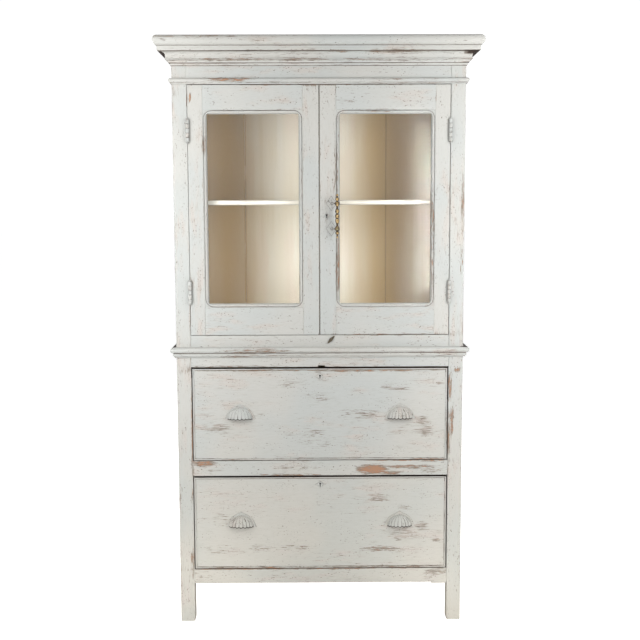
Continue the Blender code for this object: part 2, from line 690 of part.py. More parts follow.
# ---------------------------------------------------------------- turn button
def build_turn_button():
    """A pointed bar that turns on a screw driven into the rail below the doors."""
    centre = Vector((BUTTON_X, FRONT_Y, BUTTON_Z))
    pivot = axis_empty("turn_button_axis", centre)
    half_w, clear, thick = 0.0056, 0.0016, 0.0030
    half_shape = ((-1.0, 0.0), (-0.74, -0.56), (-0.32, -1.0), (0.32, -1.0), (0.74, -0.56))
    shape = (*half_shape, *((-u, -v) for u, v in half_shape))
    a = math.radians(BUTTON_ANGLE)
    outline = []
    for along, across in shape:
        u, v = along * BUTTON_HALF, across * half_w
        x = BUTTON_X + u * math.cos(a) - v * math.sin(a)
        z = BUTTON_Z + u * math.sin(a) + v * math.cos(a)
        outline.append((x, z))
    back = FRONT_Y - clear
    button = prism("turn_button", outline, 1, back - thick, back, IRON, pivot)
    bore = ((0, -0.01), (0.0024, -0.01), (0.0024, 0.01), (0, 0.01))
    modify(button, lathe("button_bore", bore, centre, 12, None, turn=FACING), "DIFFERENCE")
    head_y = clear + thick + FIT
    screw = (
        (0, -0.0105), (0.0020, -0.0105), (0.0020, head_y), (0.0046, head_y),
        (0.0042, head_y + 0.0012), (0.0024, head_y + 0.0021), (0, head_y + 0.0024),
    )
    lathe("turn_button_screw", screw, centre, 12, IRON, turn=FACING)


def build_all():
    clear_scene()
    build_posts()
    build_side_panels()
    build_rails()
    build_mouldings()
    build_boards()
    build_runner_frames()
    build_door(-1, "left")
    right_door = build_door(1, "right")
    build_door_pull(right_door)
    build_drawer("upper", UPPER_OPEN_Z, 0.8862, 0.7361)
    build_drawer("lower", LOWER_OPEN_Z, 0.4997, 0.3477)
    build_turn_button()


build_all()
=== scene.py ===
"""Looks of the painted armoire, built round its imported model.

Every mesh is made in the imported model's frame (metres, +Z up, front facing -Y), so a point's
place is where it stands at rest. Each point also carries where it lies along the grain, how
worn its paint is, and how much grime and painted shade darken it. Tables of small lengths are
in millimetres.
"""
import math

import bmesh
import bpy
from mathutils import Matrix, Vector, noise


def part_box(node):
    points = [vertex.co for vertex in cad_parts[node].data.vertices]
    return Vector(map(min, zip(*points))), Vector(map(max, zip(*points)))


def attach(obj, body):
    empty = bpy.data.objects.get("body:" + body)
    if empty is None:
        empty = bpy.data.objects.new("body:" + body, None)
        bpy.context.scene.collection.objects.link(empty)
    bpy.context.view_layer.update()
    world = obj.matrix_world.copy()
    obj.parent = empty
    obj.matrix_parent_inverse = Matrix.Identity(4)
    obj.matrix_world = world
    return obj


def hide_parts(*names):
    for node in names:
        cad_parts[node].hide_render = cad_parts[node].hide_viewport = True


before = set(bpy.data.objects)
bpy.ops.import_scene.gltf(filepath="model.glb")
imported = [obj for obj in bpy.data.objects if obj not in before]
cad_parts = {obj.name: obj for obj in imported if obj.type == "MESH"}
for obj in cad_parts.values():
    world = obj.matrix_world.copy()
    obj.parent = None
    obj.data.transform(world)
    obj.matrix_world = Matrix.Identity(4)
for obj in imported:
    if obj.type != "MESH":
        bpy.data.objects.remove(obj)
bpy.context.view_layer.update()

# ---------------------------------------------------------------- places from the frame
FIT = 0.0003  # how far pieces that rest on each other are kept apart
PLATE = 0.0015  # how far a keyhole plate stands out
FRONT_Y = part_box("front_post_left")[0].y
OPEN_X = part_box("front_post_right")[0].x
HALF_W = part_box("front_post_right")[1].x
POST_BACK_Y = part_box("front_post_left")[1].y
RAIL_BACK_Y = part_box("frieze_rail")[1].y
REAR_POST_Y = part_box("rear_post_left")[0].y
BACK_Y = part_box("rear_post_left")[1].y
PANEL_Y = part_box("upper_drawer_lock")[0].y + FIT + PLATE
GLASS_BACK_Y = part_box("left_door_glass")[1].y

# ---------------------------------------------------------------- mesh fineness and wear
ALONG_STEP = 0.014
ACROSS_STEP = 0.0055
EDGE_ZONE = 0.0035
ARC_STEPS = 3
FACE_DEPTH = 0.012  # how far behind the front the rubbing reaches

# Places on the front where the paint is rubbed: x, z, half length and half height in mm, and
# how much
RUBBED = (
    # cornice and frieze bead
    (-422, 2044, 150, 8, 0.88), (-215, 2027, 20, 3, 0.5), (-285, 1970, 135, 3, 0.8),
    (-50, 1970, 85, 3, 0.75), (153, 1970, 60, 3, 0.85), (72, 1995, 37, 3, 0.85),
    (187, 1995, 22, 3, 0.85), (293, 1995, 66, 3, 0.9), (-302, 1905, 72, 6, 1),
    (253, 1905, 42, 3, 0.6), (0, 1888.5, 300, 1.6, 0.85),
    # doors
    (158, 1858, 24, 3, 0.55), (90, 1832, 26, 9, 0.5), (202, 1802, 60, 7, 0.62),
    (-393, 1687, 7, 26, 0.75), (60, 1630, 7, 135, 0.55), (25.5, 1445, 6, 60, 0.5),
    (388, 1364, 9, 140, 0.68), (63, 1261, 7, 90, 0.8), (227, 1034, 180, 3, 0.8),
    (-439, 1846, 3, 9, 1.5), (493, 1508, 4, 60, 0.8), (491, 1285, 5, 46, 0.65),
    # waist
    (-230, 978, 120, 7, 0.72), (-284, 959, 55, 3, 0.85), (-294, 923, 145, 4, 0.62),
    (480, 908, 9, 7, 1.1),
    # upper drawer and the posts beside it
    (-194, 908, 230, 3, 0.85), (190, 906, 190, 2.5, 0.9), (-449.5, 690, 2.6, 130, 0.95),
    (456, 848, 6, 50, 1), (464, 724, 5, 50, 0.95), (450, 688, 5, 72, 0.85), (453, 640, 5, 35, 0.9),
    (-290, 589, 85, 3, 0.75), (385, 587, 62, 6, 1), (300, 586.5, 140, 2.5, 0.92),
    (260, 845, 46, 9, 0.5), (137, 754, 60, 16, 0.5), (370, 707, 20, 32, 0.4),
    (417, 861, 10, 5, 0.65), (-84, 862, 50, 13, 0.42), (7, 835, 43, 38, 0.36),
    (-364, 702, 42, 8, 0.42), (-18, 662, 54, 34, 0.4), (-230, 752, 30, 8, 0.45),
    # middle rail
    (-410, 578, 37, 9, 0.92), (-370, 552, 32, 4, 0.6), (-95, 536, 130, 4, 0.8),
    (182, 554, 43, 14, 1.35), (251, 541, 30, 5, 1.05), (317, 563, 95, 6, 0.88),
    (400, 548, 40, 8, 0.62), (-40, 559, 100, 7, 0.42),
    # lower drawer and the posts beside it
    (-454, 464, 4, 30, 0.9), (-456, 235, 5, 22, 0.95), (-494, 474, 4, 36, 0.75),
    (-206, 194, 240, 4, 0.75), (-184, 195, 28, 4, 1.1), (-300, 192.5, 140, 2.2, 0.95),
    (50, 192.5, 150, 2.2, 0.9), (280, 194.5, 150, 2.5, 0.85), (-430, 163, 16, 20, 0.5),
    (-453.5, 210, 3, 50, 0.8), (-418, 171, 31, 16, 0.46), (-367, 265, 42, 16, 0.42),
    (-216, 272, 30, 12, 0.5), (-90, 271, 53, 9, 0.48), (-353, 369, 22, 22, 0.48),
    (208, 263, 66, 10, 0.62), (211, 448, 26, 13, 0.55), (297, 415, 22, 9, 0.55),
    (271, 293, 3, 12, 1), (408, 295, 9, 6, 0.85), (360, 349, 20, 15, 0.45),
    (249, 199, 160, 4, 0.65), (420, 182, 32, 12, 0.6),
)


def rubbed(place):
    """How much the listed places rub this point, from 0 to about 1."""
    if place[1] > FRONT_Y + FACE_DEPTH:
        return 0.0
    most, spread = 0.0, 1.6  # the rubbing fades out at this many half lengths
    for x, z, half_x, half_z, much in RUBBED:
        u, v = (1000 * place[0] - x) / half_x, (1000 * place[2] - z) / half_z
        if abs(u) < spread and abs(v) < spread:
            reach = max(0.0, 1.0 - (u * u + v * v) / spread ** 2)
            most = max(most, much * min(1.0, 1.25 * reach))
    return most


def wander(*where):
    """Smooth noise from 0 to 1."""
    return 0.5 + 0.5 * noise.noise(Vector(where))


def hump(value, centre, width):
    """1 at the centre, falling away smoothly on both sides."""
    return math.exp(-((value - centre) / width) ** 2)


def mm(*rows):
    """Rows of millimetres in metres."""
    return [tuple(value / 1000 for value in row) for row in rows]


def mixed(a, b, share):
    """What lies at this share of the way from a to b."""
    return tuple(p + (q - p) * share for p, q in zip(a, b))


def round_rect(left, bottom, right, top, radius, corner, turn):
    """A place on the edge of a rectangle with rounded corners, and the way it faces.

    The turn goes from 0 to 1 round the corner, then from 1 to 2 along the side after it.
    """
    centres = ((left + radius, bottom + radius), (right - radius, bottom + radius),
               (right - radius, top - radius), (left + radius, top - radius))
    middle = mixed(centres[corner], centres[(corner + 1) % 4], max(0.0, turn - 1.0))
    angle = math.radians(180 + 90 * corner + 90 * min(turn, 1.0))
    facing = (math.cos(angle), math.sin(angle))
    return [m + radius * way for m, way in zip(middle, facing)], facing


# ---------------------------------------------------------------- material kit
class Shader:
    """A material's node tree, written as short expressions that return sockets."""

    def __init__(self, name):
        self.material = bpy.data.materials.new(name)
        self.material.use_nodes = True
        self.tree = self.material.node_tree
        self.surface = self.tree.nodes["Principled BSDF"]

    def node(self, kind, **settings):
        made = self.tree.nodes.new(kind)
        for key, value in settings.items():
            setattr(made, key, value)
        return made

    def put(self, node, key, value):
        if isinstance(value, bpy.types.NodeSocket):
            self.tree.links.new(value, node.inputs[key])
        else:
            node.inputs[key].default_value = value

    def carried(self, name):
        """What the mesh's points carry: flow, wear, and grime together with painted shade."""
        made = self.node("ShaderNodeAttribute", attribute_name=name)
        return made.outputs["Vector" if name == "flow" else "Fac"]

    def place(self):
        return self.node("ShaderNodeTexCoord").outputs["Object"]

    def height(self):
        """How high a point stands at rest."""
        split = self.node("ShaderNodeSeparateXYZ")
        self.put(split, 0, self.place())
        return split.outputs["Z"]

    def stretch(self, vector, factors, shift=(0.0, 0.0, 0.0)):
        made = self.node("ShaderNodeVectorMath", operation="MULTIPLY_ADD")
        for socket, value in enumerate((vector, factors, shift)):
            self.put(made, socket, value)
        return made.outputs[0]

    def noise(self, vector, scale, detail=2.0, roughness=0.5, distortion=0.0):
        made = self.node("ShaderNodeTexNoise")
        for key, value in (
            ("Vector", vector), ("Scale", scale), ("Detail", detail),
            ("Roughness", roughness), ("Distortion", distortion),
        ):
            self.put(made, key, value)
        return made.outputs["Fac"]

    def grain(self, flow, squeeze, scale, detail=3.0, roughness=0.6, shift=(0.0, 0.0, 0.0)):
        """Noise drawn out along the grain."""
        return self.noise(self.stretch(flow, (squeeze, 1.0, 1.0), shift), scale, detail, roughness)

    def maths(self, operation, a, b=0.0):
        made = self.node("ShaderNodeMath", operation=operation)
        self.put(made, 0, a)
        self.put(made, 1, b)
        return made.outputs[0]

    def weigh(self, *terms):
        """Weighted sum of (socket, weight, value at which it adds nothing)."""
        total = None
        for socket, weight, rest in terms:
            term = self.maths("MULTIPLY", self.maths("SUBTRACT", socket, rest), weight)
            total = term if total is None else self.maths("ADD", total, term)
        return total

    def window(self, value, low, high, top=1.0):
        """0 below `low`, `top` above `high`, smooth between."""
        made = self.node("ShaderNodeMapRange", interpolation_type="SMOOTHSTEP")
        for socket, number in enumerate((value, low, high, 0.0, top)):
            self.put(made, socket, number)
        return made.outputs[0]

    def blend(self, share, a, b):
        made = self.node("ShaderNodeMix", data_type="RGBA")
        self.put(made, "Factor", share)
        for key, colour in (("A", a), ("B", b)):
            socket = next(s for s in made.inputs if s.name == key and s.type == "RGBA")
            if isinstance(colour, bpy.types.NodeSocket):
                self.tree.links.new(colour, socket)
            else:
                socket.default_value = (*colour, 1.0)
        return next(s for s in made.outputs if s.type == "RGBA")

    def over(self, colour, tint, pattern, low, high, top=1.0):
        """The colour, with a tint over it where the pattern is above `low`."""
        return self.blend(self.window(pattern, low, high, top), colour, tint)

    def bump(self, height, distance, strength=1.0):
        made = self.node("ShaderNodeBump")
        for key, value in (("Height", height), ("Distance", distance), ("Strength", strength)):
            self.put(made, key, value)
        self.tree.links.new(made.outputs["Normal"], self.surface.inputs["Normal"])

    def uneven(self, pattern, base, spread, low=0.2):
        """A roughness that the pattern raises from its base."""
        return self.maths("ADD", self.window(pattern, low, 0.8, spread), base)

    def finish(self, colour, roughness, metallic=0.0, **others):
        self.put(self.surface, "Base Color", colour)
        self.put(self.surface, "Roughness", roughness)
        self.put(self.surface, "Metallic", metallic)
        for key, value in others.items():
            self.put(self.surface, key.replace("_", " "), value)
        return self.material


# ---------------------------------------------------------------- materials
COOL, WARM, PINK = (0.418, 0.434, 0.424), (0.447, 0.446, 0.424), (0.462, 0.420, 0.386)
YELLOW_COOL, YELLOW_WARM = (0.432, 0.425, 0.382), (0.456, 0.434, 0.382)
STREAK = (0.225, 0.190, 0.150)
BLACK = (0.0, 0.0, 0.0)
BARE_WOOD = ((0.062, 0.038, 0.027), (0.322, 0.176, 0.107))  # under the paint, dark and light
BARE_IRON = ((0.024, 0.021, 0.019), (0.13, 0.105, 0.085))


def painted(name, bare_dark, bare_light, streaky=1.0, painted_shade=0.0):
    """Chalky paint, thin in streaks along the grain, worn through to what is under it.

    `streaky` is how strong the streaks are; the last argument takes the paint towards their colour,
    making a darker copy as painted shade for the backs of the doors.
    """
    cool, warm, pink, yellow_cool, yellow_warm = (
        mixed(coat, STREAK, painted_shade) for coat in (COOL, WARM, PINK, YELLOW_COOL, YELLOW_WARM)
    )
    sh = Shader(name)
    flow, wear, grime_and_shade = map(sh.carried, ("flow", "wear", "grime_and_shade"))
    cloud = sh.noise(flow, 3.1)
    patch = sh.grain(flow, 0.40, 11.0, 2.0, 0.55)
    thin = sh.grain(flow, 0.22, 40.0, shift=(4.0, 2.0, 7.0))
    streak = sh.grain(flow, 0.06, 400.0, shift=(1.0, 5.0, 3.0))
    fibre = sh.grain(flow, 0.06, 850.0)
    fleck = sh.grain(flow, 0.50, 260.0, 2.0, shift=(9.0, 1.0, 2.0))
    chip = sh.grain(flow, 0.30, 170.0, 4.0, 0.7, (2.0, 8.0, 6.0))

    low_down = sh.window(sh.height(), 0.95, -0.15)  # the paint yellows towards the floor
    colour = sh.over(sh.blend(low_down, cool, yellow_cool), sh.blend(low_down, warm, yellow_warm),
                     cloud, 0.38, 0.62)
    rosy = sh.maths("MULTIPLY", sh.window(thin, 0.46, 0.66), sh.window(patch, 0.44, 0.60, 0.75))
    colour = sh.blend(rosy, colour, pink)
    colour = sh.over(colour, STREAK, fibre, 0.40, 0.75, 0.14)

    rub = sh.weigh((streak, 0.60, 0.0), (fibre, 0.40, 0.0), (patch, 0.36, 0.5), (thin, 0.28, 0.5),
                   (wear, 0.24, 0.0))
    colour = sh.over(colour, STREAK, rub, 0.555, 0.70, 0.30 * streaky)
    colour = sh.over(colour, mixed(bare_dark, STREAK, 0.70), rub, 0.635, 0.690, 0.46 * streaky)
    flecks = sh.maths("MULTIPLY", sh.window(fleck, 0.625, 0.68), sh.window(thin, 0.44, 0.58, 0.80))
    colour = sh.blend(flecks, colour, mixed(bare_dark, STREAK, 0.30))

    worn = sh.weigh((streak, 0.95, 0.5), (chip, 0.75, 0.5), (fibre, 0.45, 0.5), (patch, 0.25, 0.5),
                    (wear, 0.36, 0.0))
    colour = sh.over(colour, mixed(bare_dark, STREAK, 0.55), worn, 0.225, 0.315, 0.70)
    bare = sh.window(worn, 0.300, 0.400)
    depth = sh.weigh((fibre, 0.5, 0.0), (chip, 0.5, 0.0), (wear, 0.32, 1.0))
    timber = sh.over(mixed(STREAK, bare_dark, 0.45), bare_light, depth, 0.36, 0.52)
    colour = sh.blend(bare, colour, timber)
    # The grime attribute darkens the paint here: real dirt, and painted shade where it stands for
    # gaps and shaded side returns.
    dirt = sh.weigh((grime_and_shade, 1.0, 0.0), (low_down, 0.10, 0.0), (streak, 0.9, 0.5),
                    (patch, 0.6, 0.5), (chip, 0.8, 0.5))
    colour = sh.over(colour, mixed(bare_dark, STREAK, 0.22), dirt, 0.25, 0.62, 0.80)
    colour = sh.over(colour, mixed(bare_dark, BLACK, 0.55), dirt, 0.80, 1.40)

    sh.bump(sh.weigh((fibre, 0.35, 0.0), (bare, -0.55, 0.0), (streak, 0.30, 0.0)), 0.0006, 0.45)
    return sh.finish(colour, sh.uneven(fibre, 0.48, 0.30), Specular_IOR_Level=0.35)


def cream_boards():
    """Flat cream paint inside the cupboard, brushed upright, with painted shade browning the dim
    parts of the back.
    """
    sh = Shader("cream_boards")
    flow, wear, grime_and_shade = map(sh.carried, ("flow", "wear", "grime_and_shade"))
    soft = sh.grain(flow, 0.25, 9.0, 2.0, 0.5)
    band = sh.grain(flow, 0.03, 60.0, 2.0, 0.5)
    tint = sh.grain(flow, 0.30, 14.0, 2.0, 0.5, (3.0, 1.0, 5.0))
    fine = sh.grain(flow, 0.06, 480.0)
    colour = sh.over((0.95, 0.925, 0.82), (0.93, 0.885, 0.75), soft, 0.35, 0.65)
    colour = sh.over(colour, (0.93, 0.84, 0.74), tint, 0.48, 0.64, 0.55)
    colour = sh.over(colour, (0.80, 0.74, 0.55), band, 0.45, 0.70, 0.25)
    # painted shade browns the back boards; the darkest step below marks their two joints
    shade_brown = sh.weigh((grime_and_shade, 1.0, 0.0), (soft, 0.5, 0.5))
    colour = sh.over(colour, (0.75, 0.555, 0.265), shade_brown, 0.0, 1.0)
    colour = sh.over(colour, (0.33, 0.17, 0.09), grime_and_shade, 1.5, 2.5, 0.6)
    colour = sh.over(colour, (0.61, 0.568, 0.505), wear, 0.05, 0.25)
    sh.bump(fine, 0.0003, 0.2)
    return sh.finish(colour, sh.uneven(fine, 0.55, 0.25), Specular_IOR_Level=0.3)


def aged_pine(name, by_place=False):
    """Bare old pine: rings drawn out along the grain, and dust.

    The grain follows the flow that the mesh carries or, by place, runs from front to back.
    """
    sh = Shader(name)
    vector = sh.place() if by_place else sh.carried("flow")
    drawn_out = sh.stretch(vector, (1.0, 0.07, 1.0) if by_place else (0.07, 1.0, 1.0))
    rings = sh.noise(drawn_out, 38.0, 3.0, 0.6, 1.2)
    fine = sh.noise(drawn_out, 420.0, 3.0, 0.6)
    dust = sh.noise(vector, 7.0)
    colour = sh.over((0.40, 0.24, 0.12), (0.58, 0.38, 0.20), rings, 0.35, 0.65)
    colour = sh.over(colour, (0.24, 0.13, 0.06), fine, 0.45, 0.80, 0.45)
    colour = sh.over(colour, (0.50, 0.44, 0.36), dust, 0.45, 0.75, 0.35)
    sh.bump(fine, 0.0005, 0.4)
    return sh.finish(colour, sh.uneven(fine, 0.6, 0.25, 0.1), Specular_IOR_Level=0.25)


def window_glass():
    """Thin clear glass: almost nothing but a faint reflection and specks of dust."""
    sh = Shader("window_glass")
    sh.material.surface_render_method = "BLENDED"
    smear = sh.noise(sh.place(), 14.0, 3.0)
    colour = sh.over((0.90, 0.93, 0.92), (0.96, 0.96, 0.94), smear, 0.4, 0.7)
    return sh.finish(colour, 0.04, Alpha=0.03, IOR=1.5)


def aged_brass():
    """Old brass: golden on the front, nearly black in hollows and, as painted shade, on its sides;
    green in places.
    """
    sh = Shader("aged_brass")
    flow, grime_and_shade = sh.carried("flow"), sh.carried("grime_and_shade")
    spots = sh.noise(flow, 240.0, 3.0, 0.6)
    band = sh.noise(flow, 55.0)
    colour = sh.over((0.56, 0.41, 0.19), (0.24, 0.15, 0.065), spots, 0.40, 0.66)
    colour = sh.over(colour, (0.24, 0.26, 0.17), band, 0.54, 0.62, 0.65)
    dark = sh.weigh((grime_and_shade, 1.0, 0.0), (spots, 0.9, 0.5), (band, 0.9, 0.5))
    colour = sh.over(colour, (0.045, 0.028, 0.018), dark, 0.10, 0.50, 0.94)
    sh.bump(spots, 0.0003, 0.4)
    return sh.finish(colour, sh.uneven(spots, 0.30, 0.25), 0.55)


def dark_iron():
    sh = Shader("dark_iron")
    spots = sh.noise(sh.carried("flow"), 300.0, 3.0, 0.6)
    colour = sh.over((0.055, 0.046, 0.034), (0.12, 0.095, 0.06), spots, 0.35, 0.65)
    colour = sh.over(colour, (0.21, 0.18, 0.13), sh.carried("wear"), 0.3, 1.0, 0.6)
    sh.bump(spots, 0.0004, 0.5)
    return sh.finish(colour, sh.uneven(spots, 0.40, 0.25), 0.4)


def pale_floor():
    """White studio floor; seen directly it blends into the white around it."""
    sh = Shader("pale_floor")
    cloud = sh.noise(sh.place(), 0.8, 3.0)
    colour = sh.over((0.93, 0.93, 0.93), (0.90, 0.90, 0.90), cloud, 0.3, 0.7)
    seen = sh.node("ShaderNodeLightPath").outputs["Is Camera Ray"]
    sh.put(sh.surface, "Emission Color", (1.0, 1.0, 1.0, 1.0))
    sh.put(sh.surface, "Emission Strength", sh.maths("MULTIPLY", seen, 0.95))
    return sh.finish(colour, 0.9, Specular_IOR_Level=0.1)


FINISHES = {  # each finish's material, and the record's slot that it belongs to
    "paint": (painted("distressed_paint", *BARE_WOOD), "distressed_paint"),
    # A darker copy of the paint, as painted shade for the backs of the doors and their glazing
    # beads, which the lamps light strongly.
    "shaded_back_paint": (painted("shaded_back_distressed_paint", *BARE_WOOD, painted_shade=0.62), "distressed_paint"),
    "iron_paint": (painted("painted_iron", *BARE_IRON, streaky=0.6), "painted_iron"),
    "cream": (cream_boards(), "cream_paint"),
    "pine": (aged_pine("bare_pine"), "bare_pine"),
    "glass": (window_glass(), "clear_glass"),
    "brass": (aged_brass(), "aged_brass"),
    "iron": (dark_iron(), "dark_iron"),
}


# ---------------------------------------------------------------- mesh kit
FLOW_STEP = (3.7, 1.3, 0.0)  # how far apart two pieces lie in the patterns' space
seeds = iter(range(1, 400))


class Skin:
    """A mesh in the making, with what the materials need to know at each point."""

    def __init__(self):
        self.seed = next(seeds)
        self.places, self.faces = [], []
        self.flow, self.wear, self.grime_and_shade = [], [], []
        self.lined = set()

    def point(self, place, flow, wear=0.0, grime_and_shade=0.0):
        self.places.append(tuple(place))
        self.flow += [f + step * self.seed for f, step in zip(flow, FLOW_STEP)]
        self.wear.append(wear)
        self.grime_and_shade.append(grime_and_shade)
        return len(self.places) - 1

    def upright(self, place, wear=0.0, grime_and_shade=0.0):
        """A point whose grain runs upwards."""
        return self.point(place, (place[2], place[0], place[1]), wear, grime_and_shade)

    def bridge(self, ring, other, closed=True, lined=()):
        count = len(ring)
        for i in range(count if closed else count - 1):
            j = (i + 1) % count
            if i in lined:
                self.lined.add(len(self.faces))
            self.faces.append((ring[i], ring[j], other[j], other[i]))

    def cap(self, ring, grime_and_shade=0.0):
        """Closes a ring with a fan from its middle."""
        size = len(ring)
        middle = [sum(self.places[i][k] for i in ring) / size for k in range(3)]
        flow = [sum(self.flow[3 * i + k] for i in ring) / size for k in range(3)]
        flow = [f - step * self.seed for f, step in zip(flow, FLOW_STEP)]
        centre = self.point(middle, flow, 0.0, grime_and_shade)
        for i in range(size):
            self.faces.append((ring[i], ring[(i + 1) % size], centre))

    def tube(self, rings, lined=()):
        """A closed tube through rings of points."""
        for ring, other in zip(rings, rings[1:]):
            self.bridge(ring, other, lined=lined)
        self.cap(rings[0])
        self.cap(rings[-1])

    def sheet(self, columns, rows, point_of):
        """A grid of points, made by point_of from its shares of the way across and up."""
        grid = [[point_of(i / columns, j / rows) for i in range(columns + 1)]
                for j in range(rows + 1)]
        for line, above in zip(grid, grid[1:]):
            self.bridge(line, above, closed=False)
        return grid

    def join(self, grid, other):
        """Closes the gap between two sheets, all round their edges."""
        self.bridge(grid[0], other[0], closed=False)
        self.bridge(grid[-1], other[-1], closed=False)
        for k in (0, -1):
            self.bridge([line[k] for line in grid], [line[k] for line in other], closed=False)

    def finish(self, name, finish, body, node=None, crisp=40.0, lining=None):
        """The finished piece, riding on its body and standing for its CAD node."""
        mesh = bpy.data.meshes.new(name)
        mesh.from_pydata(self.places, [], self.faces)
        if lining:
            for number in self.lined:
                mesh.polygons[number].material_index = 1
        for label, kind, key, values in (
            ("flow", "FLOAT_VECTOR", "vector", self.flow),
            ("wear", "FLOAT", "value", self.wear), ("grime_and_shade", "FLOAT", "value", self.grime_and_shade),
        ):
            mesh.attributes.new(label, kind, "POINT").data.foreach_set(key, values)
        bm = bmesh.new()
        bm.from_mesh(mesh)
        bmesh.ops.recalc_face_normals(bm, faces=bm.faces)
        bm.to_mesh(mesh)
        bm.free()
        mesh.shade_smooth()
        mesh.set_sharp_from_angle(angle=math.radians(crisp))
        material, slot = FINISHES[finish]
        mesh.materials.append(material)
        if lining:
            mesh.materials.append(FINISHES[lining][0])
        obj = bpy.data.objects.new(name, mesh)
        bpy.context.scene.collection.objects.link(obj)
        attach(obj, body)
        if node:
            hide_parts(node)
        return obj


def shares(length, step, margin):
    """Places along a stretch, as shares of it, with one close to each end."""
    if length < 3 * margin:
        return [0.5]
    count = max(1, round((length - 2 * margin) / step))
    near = margin / length
    return [near + (1 - 2 * near) * i / count for i in range(count + 1)]


def painted_shade_and_joints(place):
    """How much painted shade browns the cream back, by how little of the lamps' light reaches it,
    and its two dark joints.
    """
    x = place[0]
    if x < 0.0:
        reach = min(1.0, max(0.0, (-x - 0.13) / 0.22) ** 1.3)
        reach -= 0.40 * max(0.0, (-x - 0.36) / 0.06)
    else:
        reach = 0.95 * hump(x, 0.262, 0.115 if x < 0.262 else 0.105)
    joint = min(abs(x + 0.282), abs(x - 0.260))  # the two joints seen through the panes
    return max(reach, 2.2 * (joint < 0.0012))


def board(name, low, high, grain, finish, body, node=None, edge=0.0012, cuts=(), worn=1.0,
          lining=(None, None), dirty=()):
    """A board with eased, unevenly worn edges and faces that aren't quite flat.

    `grain` is the axis it runs along. Each cut is (start, end, side, depth): between those
    places along the board, that side of its section is set back. The sides are 0 to 3:
    low second axis, high first axis, high second axis, low first axis. The lining is a side
    and the other finish that its face has. Each stretch of grime is (start, end, side, how much):
    real dirt on some faces, and painted shade on faces that line the gaps between parts.
    """
    skin = Skin()
    seed = skin.seed
    first, second = [k for k in range(3) if k != grain]
    size = (high[first] - low[first], high[second] - low[second])
    radius = min(edge, 0.3 * min(size))
    wear_fade = 0.0022
    layout = []
    for corner in range(4):
        length = size[corner % 2]
        layout += [(corner, turn / ARC_STEPS, 1.0) for turn in range(ARC_STEPS + 1)]
        for share in shares(length, ACROSS_STEP, EDGE_ZONE):
            away = min(share, 1 - share) * length
            layout.append((corner, 1.0 + share, math.exp(-away / wear_fade)))

    ends = [0.0, 0.3 * radius, radius, 2.5 * EDGE_ZONE]
    length = high[grain] - low[grain]
    count = max(2, round((length - 2 * ends[-1]) / ALONG_STEP))
    stations = [low[grain] + e for e in ends]
    inner = (length - 2 * ends[-1]) / count
    stations += [stations[-1] + inner * i for i in range(1, count)]
    stations += [high[grain] - e for e in reversed(ends)]
    wall = 0.0002  # half the length over which a cut begins or ends
    for cut in cuts:
        for cut_end in cut[:2]:
            if low[grain] + radius < cut_end < high[grain] - radius:
                stations += [cut_end - wall, cut_end + wall]
    stations.sort()

    rings = []
    for along in stations:
        bounds = [low[second], high[first], high[second], low[first]]
        for start, end, side, depth in cuts:
            if start < along < end:
                bounds[side] += depth if side in (0, 3) else -depth
        from_end = min(along - low[grain], high[grain] - along)
        tuck = 0.9 * radius * (1 - math.sqrt(max(0.0, 1 - (1 - min(1, from_end / radius)) ** 2)))
        ring = []
        for corner, turn, near_edge in layout:
            uneven = wander(along * 14, corner * 9.1, seed)
            r = radius * (0.65 + 0.7 * uneven * uneven)
            spot, facing = round_rect(bounds[3], *bounds[:3], r, corner, turn)
            dip = 0.00022 * wander(along * 5, spot[0] * 11 + seed, spot[1] * 11) + tuck
            place = [along, along, along]
            place[first], place[second] = (s - way * dip for s, way in zip(spot, facing))
            patchy = wander(along * 10, corner * 5.3 + seed, 2.0)
            wear = worn * near_edge * (0.02 + 1.10 * patchy ** 3)
            grime_and_shade = 0.0
            if finish == "paint":
                wear = max(wear, rubbed(place))
            # the upright cream boards get painted shade, and their dark joints
            elif finish == "cream" and grain == 2:
                grime_and_shade = painted_shade_and_joints(place)
            for start, end, side, much in dirty:
                if corner == side and turn > 0.6 and start < along < end:
                    grime_and_shade = max(grime_and_shade, much)
            ring.append(skin.point(place, (along, *spot), wear, grime_and_shade))
        rings.append(ring)
    skin.tube(rings, {i for i, (corner, turn, _) in enumerate(layout)
                      if corner == lining[0] and turn >= 1.0})
    return skin.finish(name, finish, body, node, lining=lining[1])


def plank(node, grain, finish="paint", body="carcass", low=None, high=None, **how):
    """A board that stands for a CAD node, and fills its box where nothing else is said."""
    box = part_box(node)
    low, high = box[0] if low is None else low, box[1] if high is None else high
    return board(node + ".looks", low, high, grain, finish, body, node, **how)


def refine(outline, longest):
    """The outline with long stretches divided."""
    points = [outline[0]]
    for here, there in zip(outline, outline[1:]):
        count = max(1, math.ceil(math.dist(here, there) / longest))
        for i in range(1, count + 1):
            points.append(tuple(h + (t - h) * i / count for h, t in zip(here, there)))
    return points


def exposure(outline, window=0.0035):
    """For each point of an outline, above 0 where it stands out and below 0 in a hollow."""
    lengths = [0.0]
    for here, there in zip(outline, outline[1:]):
        lengths.append(lengths[-1] + math.dist(here, there))

    def at(length):
        length = min(max(length, 0.0), lengths[-1])
        for i in range(1, len(lengths)):
            if length <= lengths[i]:
                part = (length - lengths[i - 1]) / max(1e-9, lengths[i] - lengths[i - 1])
                return Vector(outline[i - 1]).lerp(Vector(outline[i]), part)
        return Vector(outline[-1])

    found = []
    for length, spot in zip(lengths, outline):
        before, after = at(length - window), at(length + window)
        chord = after - before
        out = Vector((chord.y, -chord.x)).normalized() if chord.length else Vector((1, 0))
        bulge = (Vector(spot) - (before + after) / 2).dot(out)
        found.append(max(-1.0, min(1.0, bulge / (0.45 * window))))
    return found


def arc(centre, radii, start, end, steps):
    """Points of an elliptical arc, angles in degrees."""
    turns = [math.radians(start + (end - start) * i / steps) for i in range(steps + 1)]
    return [(centre[0] + radii[0] * math.cos(a), centre[1] + radii[1] * math.sin(a))
            for a in turns]


